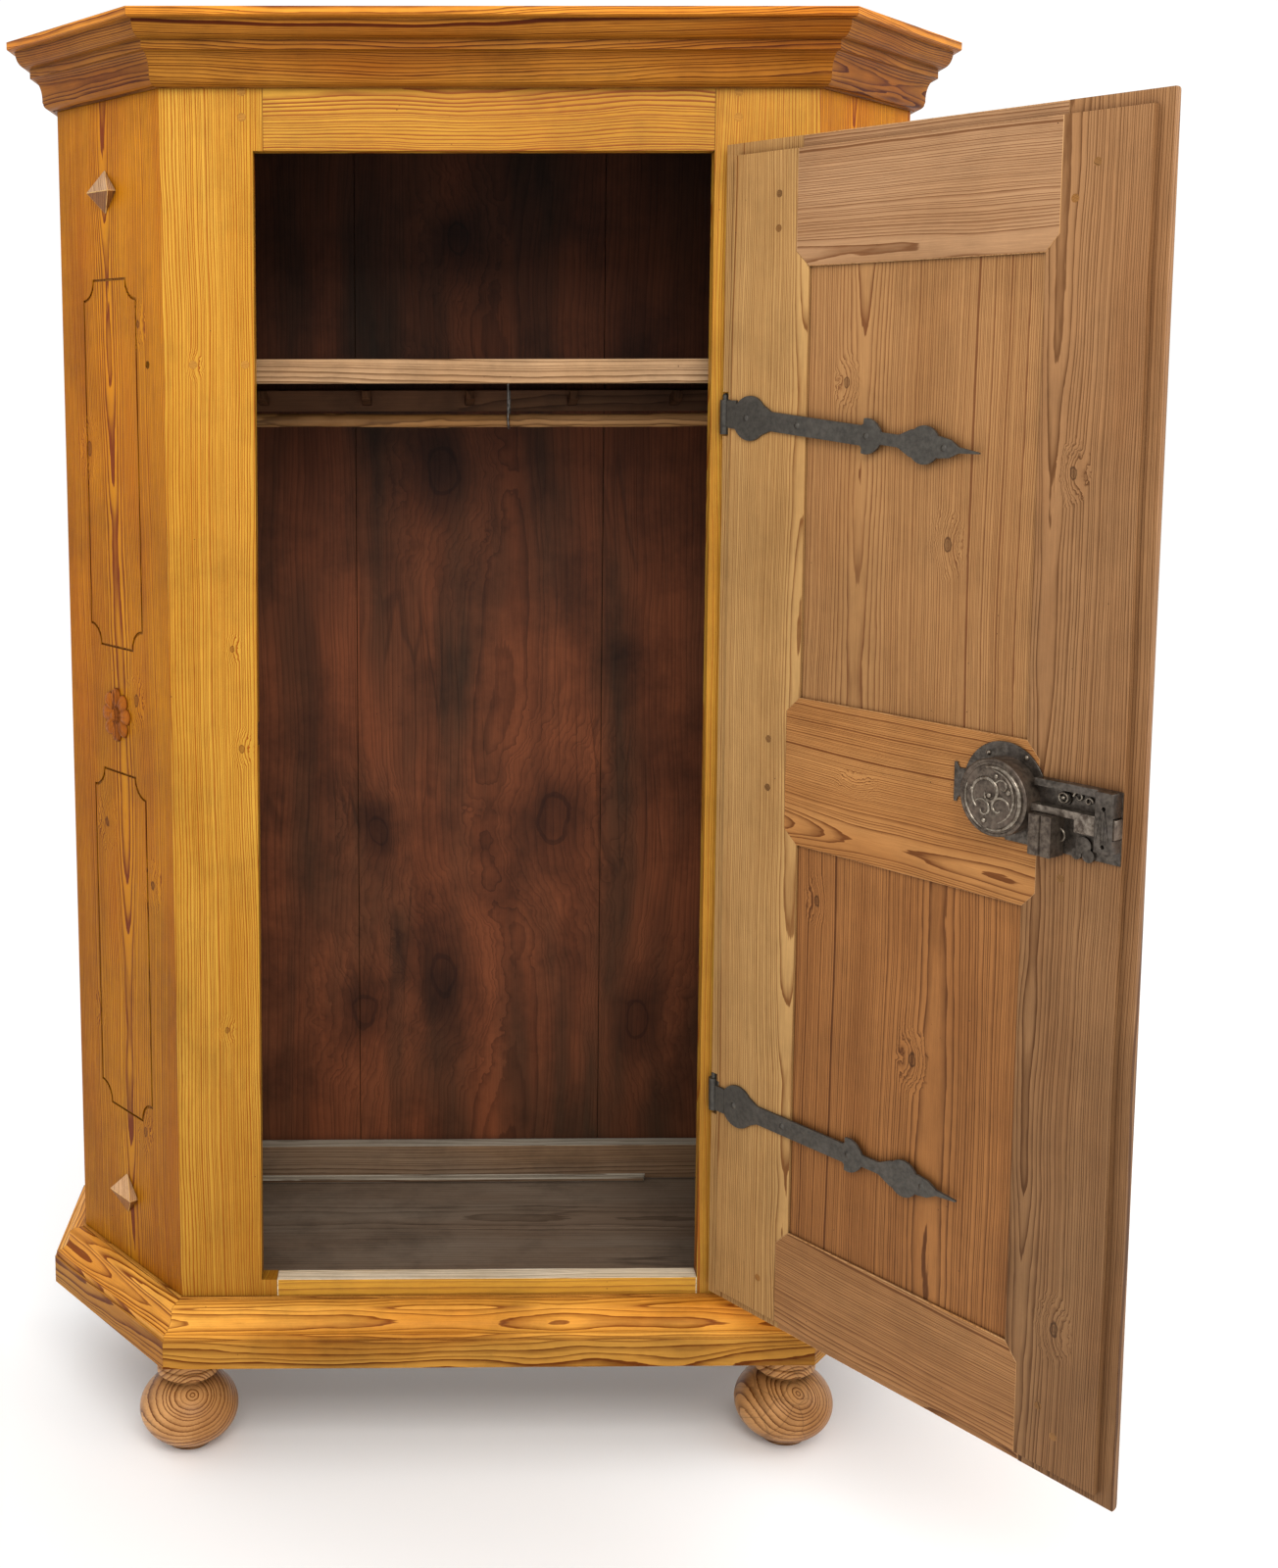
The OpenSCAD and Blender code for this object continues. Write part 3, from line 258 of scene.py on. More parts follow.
    # Worm holes and small dents, about 1.5 mm across, in scattered groups
    pits = put(t, "ShaderNodeTexVoronoi", {"Vector": own, "Scale": 62, "Randomness": 1}, out="Distance")
    few = put(t, "ShaderNodeTexNoise", {"Vector": own, "Scale": 9, "Detail": 2})
    hole = put(t, "ShaderNodeMapRange", {"Value": pits, "From Min": 0.055, "From Max": 0.03})
    few = put(t, "ShaderNodeMapRange", {"Value": few, "From Min": 0.56, "From Max": 0.62})
    hole = put(t, "ShaderNodeMath", {0: hole, 1: few}, operation="MULTIPLY")
    colour = put(t, "ShaderNodeMix", {"Factor": hole, "A": colour, "B": linear("#3A2010")}, out="Result",
                 data_type="RGBA")
    t.links.new(colour, shader.inputs["Base Color"])

    # Late wood stands a little proud of the worn early wood, and the wax is uneven
    relief = put(t, "ShaderNodeMath", {0: late, 1: 0.5, 2: fibre}, operation="MULTIPLY_ADD")
    relief = put(t, "ShaderNodeMath", {0: hole, 1: -3.0, 2: relief}, operation="MULTIPLY_ADD")
    if cracks:
        drying_at = put(t, "ShaderNodeVectorMath", {0: bent, 1: (34, 34, 1.6)}, operation="MULTIPLY")
        drying = put(t, "ShaderNodeTexVoronoi", {"Vector": drying_at, "Scale": 1}, out="Distance",
                     feature="DISTANCE_TO_EDGE")
        where = put(t, "ShaderNodeTexNoise", {"Vector": own, "Scale": 4, "Detail": 2})
        where = put(t, "ShaderNodeMapRange", {"Value": where, "From Min": 0.52, "From Max": 0.6,
                                              "To Max": cracks})
        drying = put(t, "ShaderNodeMapRange", {"Value": drying, "From Min": 0.035, "From Max": 0.012})
        drying = put(t, "ShaderNodeMath", {0: drying, 1: where}, operation="MULTIPLY")
        relief = put(t, "ShaderNodeMath", {0: drying, 1: -4.0, 2: relief}, operation="MULTIPLY_ADD")
        darker = put(t, "ShaderNodeMix", {"Factor": drying, "A": colour, "B": linear("#1C0F08")},
                     out="Result", data_type="RGBA")
        t.links.new(darker, shader.inputs["Base Color"])
    bump = put(t, "ShaderNodeBump", {"Height": relief, "Strength": 0.5, "Distance": 0.35 * MM})
    t.links.new(bump, shader.inputs["Normal"])
    gloss = put(t, "ShaderNodeMapRange", {"Value": fibre, "To Min": rough - 0.06, "To Max": rough + 0.12})
    t.links.new(gloss, shader.inputs["Roughness"])
    shader.inputs["Specular IOR Level"].default_value = wax
    return made


def dress(name, skin, worn=None, edge=1.2, lining=None, faces=(0, 0, 0)):
    """Gives a CAD board its wood, with its edges rounded to the worn radius in mm in a second wood,
    and the faces that look along the direction faces in a third."""
    board = nodes[name]
    board.data.materials.clear()
    # The edge wood and the lining carry painted light on some boards: dark seam edges with painted shade,
    # the sill's painted highlight and the rhombus's shaded underside
    for wood in (skin, worn or skin, lining or skin):
        board.data.materials.append(wood)
    looks = Vector(faces)
    for face in board.data.polygons:
        face.material_index = 2 if lining and face.normal.dot(looks) > 0.6 else 0
    if edge:
        weld = board.modifiers.new("joined", "WELD")
        weld.merge_threshold = 0.01 * MM
        soft = board.modifiers.new("worn_edges", "BEVEL")
        soft.width = edge * MM
        soft.segments = 2
        soft.limit_method = "ANGLE"
        soft.angle_limit = math.radians(38)
        soft.use_clamp_overlap = True
        soft.material = 1 if worn else -1
        flat = board.modifiers.new("even_light", "WEIGHTED_NORMAL")
        flat.keep_sharp = False
        flat.weight = 90


ALONG_X = (0, math.radians(90), 0)
front_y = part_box("stile_left")[0].y

# Dark edge wood for the rounded edges of the frame, the corner boards and the mouldings: dark wax in the
# seams together with painted shade, the dark lines that shade draws in seams and between members
seam_wax_and_shade_edge = pine("wax_and_painted_shade_joint_edge", (0.1, 0.2, 0), ring=3.0, pale="#8A561C", mid="#6E4012",
                  line="#4A2808", dirt=0.4, seed=20)
worn_edge = pine("worn_pine_edge", (0.1, 0.2, 0), ring=3.0, pale="#E6BC78", mid="#D2A05A", line="#A86A2A",
                 seed=21)
raw_inside = pine("unwaxed_pine_inside", (0.05, 0.35, 0), ring=5.0, wander=9, pale="#6E4A30",
                  mid="#583723", line="#36200F", tint="#2E2418", tinted=0.6, dirt=0.5, rough=0.6, seed=22)
# Both stiles are drawn darker towards the bottom with painted shade
stile_left_pine = pine("stile_left_waxed_pine", (-0.43, front_y + 0.035, 0), ring=2.6, wander=6.0, seed=1,
                       line="#9A500C", pale="#D4A23C", mid="#B8801E", tint="#A05C0A",
                       shade_by_height=(1.4, 0.3, 0.22), contrast=2.0, wax=0.1,
                       knots=((-0.366, front_y, 1.442, 3), (-0.319, front_y, 1.085, 3),
                              (-0.309, front_y, 0.960, 4), (-0.337, front_y, 0.591, 3)))
stile_right_pine = pine("stile_right_waxed_pine", (0.43, front_y + 0.035, 0), ring=2.6, wander=7.0,
                        seed=2, line="#A05A14", pale="#D09E3A", mid="#C08A28", tint="#A8640F",
                        lean=(0.004, 0.008), contrast=1.8, shade_by_height=(1.4, 0.3, 0.22))
top_rail_pine = pine("top_rail_waxed_pine", (0.0, front_y + 0.030, 1.775), turn=ALONG_X, ring=3.0,
                     wander=12.0, seed=3, line="#8E4A0C", pale="#D09C34", mid="#B87E20", tint="#A8640F",
                     lean=(0.0, 0.015), contrast=2.2)
bottom_rail_pine = pine("bottom_rail_waxed_pine", (0.0, front_y + 0.05, 0.20), turn=ALONG_X,
                        ring=4.4, wander=5.0, seed=4, pale="#D09A34", mid="#C08A2A", line="#96601F")
# The bottom rail's upper faces and rounded edges are drawn near white: wear from feet together with a
# painted highlight where the light falls on top
sill_wear_and_highlight = pine("trodden_pine_sill_and_painted_highlight", (0.0, front_y + 0.05, 0.20), turn=ALONG_X, ring=3.6, seed=28,
                 pale="#FFF0D6", mid="#EAD3AC", line="#A07C4C", tint="#B89468", dirt=0.3, rough=0.6,
                 corner_wax_and_shade=0.15)
for name, wood in (("stile_left", stile_left_pine), ("stile_right", stile_right_pine),
                   ("top_rail", top_rail_pine)):
    dress(name, wood, seam_wax_and_shade_edge, 0.7, raw_inside, (0, 1, 0))
dress("bottom_rail", bottom_rail_pine, sill_wear_and_highlight, 1.3, sill_wear_and_highlight, (0, 0, 1))

peg_oak = pine("split_peg_end_grain", (0, 0, 0), turn=(math.radians(90), 0, 0), ring=1.4, wander=2, seed=5,
               pale="#C08630", mid="#A87024", line="#7A4A14", dirt=0.35)
dress("frame_pegs", peg_oak, None, 0.6)

# ---- Corner boards ----
# One wide pine board across each cut-off corner, mitred to the stile. Its face has two sunk panels
# outlined by a narrow carved groove, and the wood is redder and darker than the stiles.

# Each corner board's turn from the front, and the directions that its face looks and its width runs
CHAMFER_TURN = math.radians(51.9)
corner_face = {"left": Vector((-0.787, -0.617, 0)), "right": Vector((0.787, -0.617, 0))}
corner_start = {"left": Vector((-0.402, front_y, 0)), "right": Vector((0.402, front_y, 0))}
corner_run = {"left": Vector((-0.617, 0.787, 0)), "right": Vector((0.617, 0.787, 0))}


def on_corner(side, along, out, up):
    """The point on a corner board's face, in mm from its front edge, out of the face and up."""
    return (corner_start[side] + corner_run[side] * along * MM + corner_face[side] * out * MM
            + Vector((0, 0, up * MM)))


for side, sign, seed in (("left", 1, 6), ("right", -1, 7)):
    # Painted shade darkens each corner board towards the bottom
    corner_pine = pine("corner_%s_waxed_pine" % side, on_corner(side, 118, -48, 0), seed=seed, ring=2.8,
                       wander=9, turn=(0, 0, -sign * CHAMFER_TURN), pale="#DE9418", mid="#C67006",
                       line="#803604", wax=0.05, tint="#9A5C0A", tinted=0.5, contrast=1.9,
                       shade_by_height=(1.75, 0.6, 0.34), lean=(0.012, 0.01), dirt=0.3,
                       knots=[(*on_corner(side, along, 0, up), size) for along, up, size in (
                           (60, 1490, 5), (196, 1330, 7), (92, 1012, 6), (60, 770, 6), (178, 830, 7),
                           (80, 420, 5), (205, 560, 5))])
    dress("corner_" + side, corner_pine, seam_wax_and_shade_edge, 0.8, raw_inside, -corner_face[side])

# ---- Sides, back and top ----
# A single board closes each side and three upright boards, half lapped, the back. They are waxed
# outside only: inside, long years of dust and smoke have turned the pine dark reddish brown.

for side, sign, seed in (("left", 1, 8), ("right", -1, 9)):
    # Painted shade darkens each side board towards the bottom
    side_pine = pine("side_%s_waxed_pine" % side, (-sign * 0.52, 0.09, 0), seed=seed, ring=4.6, wander=9,
                     turn=(0, 0, math.radians(90)), pale="#C88A30", mid="#B4721E", line="#7A3E0C",
                     contrast=1.3, lean=(0.006, 0.01), shade_by_height=(1.75, 0.4, 0.2),
                     knots=((-sign * 0.565, 0.06, 1.32, 9), (-sign * 0.565, 0.14, 0.66, 8)))
    dress("side_" + side, side_pine, worn_edge, 1.4, raw_inside, (sign, 0, 0))

# Inside, the back is also drawn darker from 0.7 m upwards: painted shade under the shelf and top
back_inside = pine("smoked_pine_back_with_painted_shade", (0.03, 0.27, 0), ring=6.5, wander=16, seed=10, pale="#84482A",
                   mid="#5C301A", line="#34180A", tint="#28261A", tinted=0.85, dirt=0.6, rough=0.62,
                   contrast=0.55, cracks=0.35, shade_by_height=(0.7, 1.7, 0.6), halo=0.75,
                   knots=((-0.163, 0.185, 0.745, 17), (0.11, 0.185, 0.766, 30), (-0.06, 0.185, 0.53, 28),
                          (-0.175, 0.185, 0.465, 22), (0.24, 0.185, 0.47, 22), (-0.055, 0.185, 1.295, 26),
                          (-0.02, 0.185, 1.62, 18)))
back_outside = pine("raw_sawn_pine_back", (0.1, 0.30, 0), ring=5.5, wander=12, seed=11, pale="#B28A5C",
                    mid="#96704A", line="#6A4526", tint="#7A6A56", tinted=0.6, dirt=0.4, rough=0.75,
                    knots=((-0.3, 0.203, 1.2, 14), (0.12, 0.203, 0.8, 16), (0.4, 0.203, 1.5, 12)))
dress("back_boards", back_outside, None, 0.8, back_inside, (0, -1, 0))
top_outside = pine("raw_sawn_pine_top", (0, 0.05, 1.78), turn=ALONG_X, ring=5.5, wander=12, seed=19,
                   pale="#B28A5C", mid="#96704A", line="#6A4526", tint="#7A6A56", tinted=0.6, dirt=0.4,
                   rough=0.75)
flat_inside = pine("unwaxed_pine_inside_flat", (0.05, 0.02, 1.36), turn=ALONG_X, ring=5.0, wander=9,
                   pale="#6E4A30", mid="#583723", line="#36200F", tint="#2E2418", tinted=0.6, dirt=0.5,
                   rough=0.6, seed=49)
dress("top_board", top_outside, None, 0.8, flat_inside, (0, 0, -1))

# ---- Floor ----
# Two boards rest in the carcass on cleats and on blocks that hold the feet. Shoes have worn them
# grey and scratched. A batten and a thin lath lie along the back.

worn_floor = pine("trodden_pine_floor", (0, 0.03, 0.16), turn=ALONG_X, ring=5.0, wander=8, seed=12,
                  pale="#7E6A58", mid="#6E5A48", line="#463627", tint="#9A8E7E", tinted=0.5, dirt=0.5,
                  rough=0.66, contrast=0.7, cracks=0.5)
batten_pine = pine("dusty_pine_batten", (0, 0.2, 0.2), turn=ALONG_X, ring=4.0, wander=4, seed=13,
                   pale="#8A6C50", mid="#755840", line="#4C3524", tint="#918676", tinted=0.4, dirt=0.4,
                   rough=0.62)
for name in ("floor_board_front", "floor_board_rear"):
    dress(name, worn_floor, None, 1.0)
rubbed_batten = pine("rubbed_batten_edge", (0, 0.2, 0.2), turn=ALONG_X, ring=4.0, seed=18, pale="#B8AE9C",
                     mid="#9C8E7A", line="#6E5E4C", tint="#8C8070", dirt=0.3, rough=0.6)
dress("floor_batten", batten_pine, rubbed_batten, 1.8, rubbed_batten, (0, 0, 1))
for name in ("floor_cleats", "foot_blocks", "shelf_cleats", "rail_sockets"):
    dress(name, raw_inside, None, 0.8)

# ---- Feet ----
# Four balls turned from pine blocks with the grain upright, each with a collar and a round tenon.
# Turning cuts through the rings, which show as ovals on the ball.

for place, x, y, seed in (("front_left", -0.402, -0.149, 14), ("front_right", 0.402, -0.149, 15),
                          ("rear_left", -0.402, 0.133, 16), ("rear_right", 0.402, 0.133, 17)):
    foot_pine = pine("turned_pine_foot_" + place, (x - 0.02, y + 0.012, 0.05),
                     turn=(math.radians(62), 0, math.radians(24)), ring=5.0, wander=9, seed=seed,
                     pale="#D09A60", mid="#B27E48", line="#6E3E16", tint="#7E4A1E", tinted=0.4, dirt=0.3,
                     rough=0.34, cracks=0.25, contrast=1.5)
    dress("foot_" + place, foot_pine, None, 0.5)
    nodes["foot_" + place].modifiers["even_light"].weight = 50

# ---- Cornice and plinth ----
# Solid pine mouldings cut with hand planes, nailed round the carcass and mitred at the corners.
# The upper members are paler. The lower part of each moulding is drawn darker as painted shade,
# and the hollows and seams hold dark wax together with painted shade.


def moulding_pine(name, place, turn, seed, low=False):
    """Pine for a length of moulding: the plinth is paler than the cornice, with wider rings."""
    # The lower part of each moulding is drawn darker: painted shade on the downward-facing members
    return pine(name, place, turn=turn, seed=seed, ring=3.4 if low else 2.6, wander=13 if low else 9,
                rough=0.36, pale="#F2AE4A" if low else "#EE9E38", mid="#DA8826" if low else "#D67A1A",
                line="#80400C" if low else "#6C2A04", tint="#BC762A" if low else "#9E4E0C", tinted=0.5,
                dirt=0.35, contrast=1.6, wax=0.06, corner_wax_and_shade=0.9,
                shade_by_height=(0.196, 0.186, 0.45) if low else (1.852, 1.846, 0.52))


for part, up, low in (("cornice_", 1.80, False), ("plinth_", 0.19, True)):
    for name, place, twist, seed in (("front", (0.0, front_y + 0.075, up - 0.05), 0, 1),
                                     ("corner_left", (-0.48, -0.09, up), -CHAMFER_TURN, 2),
                                     ("corner_right", (0.48, -0.09, up), CHAMFER_TURN, 3),
                                     ("side_left", (-0.53, 0.1, up), math.radians(90), 4),
                                     ("side_right", (0.53, 0.1, up), math.radians(90), 5)):
        moulding = moulding_pine(part + name + "_planed_pine", place, (0, math.radians(90), twist),
                                 seed + 30 * low + 23, low)
        dress(part + name, moulding, seam_wax_and_shade_edge, 0.9)

# ---- Carved ornament ----
# On each corner board a pine rhombus is glued near the top and the foot, and between the panels
# sits a small leaf rosette, carved in the round: eight veined petals and a boss.

stud_pine = pine("carved_pine_rhombus", (0, 0, 0), ring=2.6, wander=4, seed=24, pale="#DCB48A",
                 mid="#C0905E", line="#6E3A14", dirt=0.35)
# The rhombus's downward faces take a darker copy of its pine: painted shade on the underside
shaded_stud = pine("painted_shade_underside_of_rhombus", (0, 0, 0), ring=2.6, wander=4, seed=29, pale="#94602E",
                   mid="#744420", line="#4C280E", dirt=0.35)
dress("diamond_studs", stud_pine, worn_edge, 0.6, shaded_stud, (0, 0, -2))

rosette_pine = pine("carved_pine_rosette", (0.3, 0.2, 0.9), ring=2.4, wander=4, seed=25, pale="#BE6C1C",
                    mid="#A25610", line="#642F0C", tint="#5A2C0C", tinted=0.6, dirt=0.45, rough=0.4,
                    wax=0.08)
# From the corner board's front edge, up from the floor, and out to a petal's tip, in mm
ROSETTE_ALONG, ROSETTE_UP, ROSETTE_REACH = 138, 984, 36
for side in ("left", "right"):
    flower = bmesh.new()
    turns, steps = 128, 22
    rows = []
    for step in range(1, steps + 1):
        far = step / steps
        row = []
        for i in range(turns):
            around = 2 * math.pi * i / turns
            lobe = abs(math.cos(4 * around))
            reach = ROSETTE_REACH * (0.76 + 0.24 * lobe ** 0.6)
            petal = math.sin(math.pi * min(1, max(0, (far - 0.30) / 0.72))) ** 0.6 if far > 0.30 else 0
            vein = 1.6 * math.exp(-((1 - lobe) / 0.02) ** 2) * petal
            boss = 8.5 * math.sqrt(max(0, 1 - (far / 0.27) ** 2))
            notch = 1.0 * math.cos(16 * around) * math.exp(-((far - 0.2) / 0.06) ** 2)
            high = 0.4 + max(boss + notch, (2.2 + 4.2 * lobe ** 0.8) * petal - vein)
            if step == steps:
                high = 0
            row.append(flower.verts.new(on_corner(side, ROSETTE_ALONG + reach * far * math.cos(around),
                                                  high, ROSETTE_UP + reach * far * math.sin(around))))
        rows.append(row)
    tip = flower.verts.new(on_corner(side, ROSETTE_ALONG, 9.0, ROSETTE_UP))
    back = flower.verts.new(on_corner(side, ROSETTE_ALONG, 0, ROSETTE_UP))
    for i in range(turns):
        after = (i + 1) % turns
        flower.faces.new((tip, rows[0][i], rows[0][after]))
        flower.faces.new((back, rows[-1][after], rows[-1][i]))
        for inner, outer in zip(rows, rows[1:]):
            flower.faces.new((inner[i], outer[i], outer[after], inner[after]))
    bmesh.ops.recalc_face_normals(flower, faces=flower.faces)
    for face in flower.faces:
        face.smooth = True
    shape = bpy.data.meshes.new("carved_rosette_" + side)
    flower.to_mesh(shape)
    shape.materials.append(rosette_pine)
    rosette = bpy.data.objects.new("carved_rosette_" + side, shape)
    bpy.context.scene.collection.objects.link(rosette)
    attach(rosette, "carcass")
    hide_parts("rosettes")

# ---- Shelf and coat pegs ----
# The hat shelf is one thick board on cleats, its front edge rubbed pale. Below it, a rail on the
# back wall carries square pegs that slope upwards.

shelf_pine = pine("rubbed_pine_shelf", (0, front_y + 0.10, 1.40), turn=ALONG_X, ring=3.4, wander=4,
                  seed=26, pale="#C6A078", mid="#AE875E", line="#6E4C2C", tint="#946C46", tinted=0.6,
                  dirt=0.45, rough=0.5, contrast=1.3)
dress("shelf", flat_inside, shelf_pine, 1.5, shelf_pine, (0, -1, 0))
dress("peg_rail", flat_inside, None, 1.0)
dress("coat_pegs", raw_inside, None, 1.0)

# ---- Clothes rail ----
# A peeled stick, neither straight nor quite round, rests in a block at each end and is held up in
# the middle by a bent iron wire that hangs from the shelf.

stick_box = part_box("clothes_rail")
stick_y = (stick_box[0].y + stick_box[1].y) / 2
stick_z = (stick_box[0].z + stick_box[1].z) / 2
stick_r = (stick_box[1].z - stick_box[0].z) / 2
stick_mesh = bmesh.new()
rings, sides = 180, 28
stick_rows = []
for i in range(rings + 1):
    t = i / rings
    x = stick_box[0].x + (stick_box[1].x - stick_box[0].x) * t
    middle = math.sin(math.pi * t)
    sag = -3.0 * MM * middle + 1.6 * MM * middle * noise.noise((x * 7, 3, 0))
    knob = 0.12 * max(0, noise.noise((x * 22, 8, 2))) * middle
    row = []
    for k in range(sides):
        around = 2 * math.pi * k / sides
        rough = 0.05 * noise.noise((x * 30, math.cos(around), math.sin(around))) * middle
        r = stick_r * (1 - 0.08 * middle + knob + rough)
        row.append(stick_mesh.verts.new((x, stick_y + r * math.cos(around),
                                         stick_z + sag + r * math.sin(around))))
    stick_rows.append(row)
for row, nearer in zip(stick_rows, stick_rows[1:]):
    for k in range(sides):
        stick_mesh.faces.new((row[k], nearer[k], nearer[(k + 1) % sides], row[(k + 1) % sides]))
stick_mesh.faces.new(stick_rows[0])
stick_mesh.faces.new(stick_rows[-1])
bmesh.ops.recalc_face_normals(stick_mesh, faces=stick_mesh.faces)
for face in stick_mesh.faces:
    face.smooth = len(face.verts) == 4
stick_shape = bpy.data.meshes.new("peeled_stick_rail")
stick_mesh.to_mesh(stick_shape)
stick_shape.materials.append(pine("peeled_fir_stick", (0, stick_y, stick_z), turn=ALONG_X, ring=2.2,
                                  wander=3, seed=27, pale="#C49462", mid="#A47644", line="#583618",
                                  dirt=0.4, rough=0.5))
stick = bpy.data.objects.new("peeled_stick_rail", stick_shape)
bpy.context.scene.collection.objects.link(stick)
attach(stick, "carcass")
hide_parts("clothes_rail")


def iron(name, face, low, rust, rough=0.45, hammered=0.4, rusty=0.4, metal=0.85, scale=95):
    """Old iron: hammer facets of 10 to 14 mm, a dark skin worn through to brighter metal in specks
    of a few mm, and brown rust in wider patches. rusty is the rust's strongest cover, 0 to 1."""
    made = bpy.data.materials.new(name)
    made.use_nodes = True
    t = made.node_tree
    shader = t.nodes["Principled BSDF"]
    own = put(t, "ShaderNodeTexCoord", out="Object")
    facet = put(t, "ShaderNodeTexVoronoi", {"Vector": own, "Scale": scale, "Smoothness": 0.7},
                out="Distance", feature="SMOOTH_F1")
    skin = put(t, "ShaderNodeTexNoise", {"Vector": own, "Scale": 160, "Detail": 6, "Roughness": 0.66})
    patch = put(t, "ShaderNodeTexNoise", {"Vector": own, "Scale": 34, "Detail": 5, "Roughness": 0.6})
    rubbed = put(t, "ShaderNodeMapRange", {"Value": skin, "From Min": 0.38, "From Max": 0.62})
    colour = put(t, "ShaderNodeMix", {"Factor": rubbed, "A": linear(low), "B": linear(face)}, out="Result",
                 data_type="RGBA")
    red = put(t, "ShaderNodeMapRange", {"Value": patch, "From Min": 0.5, "From Max": 0.68,
                                        "To Max": rusty})
    colour = put(t, "ShaderNodeMix", {"Factor": red, "A": colour, "B": linear(rust)}, out="Result",
                 data_type="RGBA")
    t.links.new(colour, shader.inputs["Base Color"])
    shine = put(t, "ShaderNodeMapRange", {"Value": red, "From Max": max(rusty, 0.01), "To Min": metal,
                                          "To Max": metal * 0.35})
    t.links.new(shine, shader.inputs["Metallic"])
    matt = put(t, "ShaderNodeMapRange", {"Value": skin, "From Min": 0.3, "From Max": 0.7,
                                         "To Min": rough + 0.16, "To Max": rough - 0.08})
    t.links.new(matt, shader.inputs["Roughness"])
    relief = put(t, "ShaderNodeMath", {0: skin, 1: 0.35, 2: facet}, operation="MULTIPLY_ADD")
    bump = put(t, "ShaderNodeBump", {"Height": relief, "Strength": hammered, "Distance": 0.8 * MM})
    t.links.new(bump, shader.inputs["Normal"])
    return made


def bent_wire(name, points, thick, skin, body, taper=None):
    """A round wire or raised line of that thickness in mm through points, made into a mesh. taper
    gives its relative thickness from one end, 0, to the other, 1."""
    line = bpy.data.curves.new(name, "CURVE")
    line.dimensions = "3D"
    line.bevel_depth = thick / 2 * MM
    line.bevel_resolution = 3
    line.use_fill_caps = True
    path = line.splines.new("POLY")
    path.points.add(len(points) - 1)
    for i, (spot, place) in enumerate(zip(path.points, points)):
        spot.co = (*place, 1)
        spot.radius = taper(i / (len(points) - 1)) if taper else 1
    path.use_smooth = True
    pattern = bpy.data.objects.new(name, line)
    bpy.context.scene.collection.objects.link(pattern)
    bpy.context.view_layer.update()
    shape = bpy.data.meshes.new_from_object(pattern.evaluated_get(bpy.context.evaluated_depsgraph_get()))
    bpy.data.objects.remove(pattern)
    shape.name = name
    shape.materials.clear()
    shape.materials.append(skin)
    made = bpy.data.objects.new(name, shape)
    bpy.context.scene.collection.objects.link(made)
    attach(made, body)
    return made


WIRE_THICK = 2.8
wire_iron = iron("drawn_iron_wire", "#8A8680", "#4A4642", "#5A4030", rough=0.36, hammered=0.1, rusty=0.3)
wire_x = 0.033
shelf_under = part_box("shelf")[0].z
loop = stick_r + 1.9 * MM
wire_top = shelf_under + 4 * MM
wire_points = [Vector((wire_x, stick_y - loop, wire_top - i * (wire_top - stick_z) / 12))
               for i in range(12)]
wire_points += [Vector((wire_x + 3 * MM * i / 20, stick_y - loop * math.cos(math.pi * i / 20),
                        stick_z - 2 * MM - loop * math.sin(math.pi * i / 20))) for i in range(21)]
wire_points += [Vector((wire_x + 3 * MM, stick_y + loop + 1.5 * MM * math.sin(i * 0.7),
                        stick_z + i * 4.2 * MM)) for i in range(1, 10)]
wire = bent_wire("bent_wire_hook", wire_points, WIRE_THICK, wire_iron, "carcass")
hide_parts("rail_hook")

# ---- Door ----
# Two stiles and three rails of pine hold two loose panels with bevelled edges. Outside it is waxed
# like the carcass, inside the wood is bare and has darkened to a soft brown, redder lower down.

hinge = Vector((0.291, front_y - 8 * MM, 0))
OPEN = math.radians(126.5)
opened = Matrix.Translation(hinge) @ Matrix.Rotation(OPEN, 4, "Z") @ Matrix.Translation(-hinge)


def on_door(x, depth, up):
    """A point on the open door, from where it is with the door closed: mm from the middle of the
    doorway, behind the stiles' face, and up."""
    return opened @ Vector((x * MM, front_y + depth * MM, up * MM))


DOOR_TURN = (0, 0, OPEN)
DOOR_RAIL_TURN = (0, math.radians(90), OPEN)
outside_of_door = Matrix.Rotation(OPEN, 3, "Z") @ Vector((0, -1, 0))
door_worn = pine("worn_pine_door_edge", on_door(0, 200, 0), ring=3.0, pale="#C49A6C", mid="#B08050",
                 line="#8A5C30", seed=40)
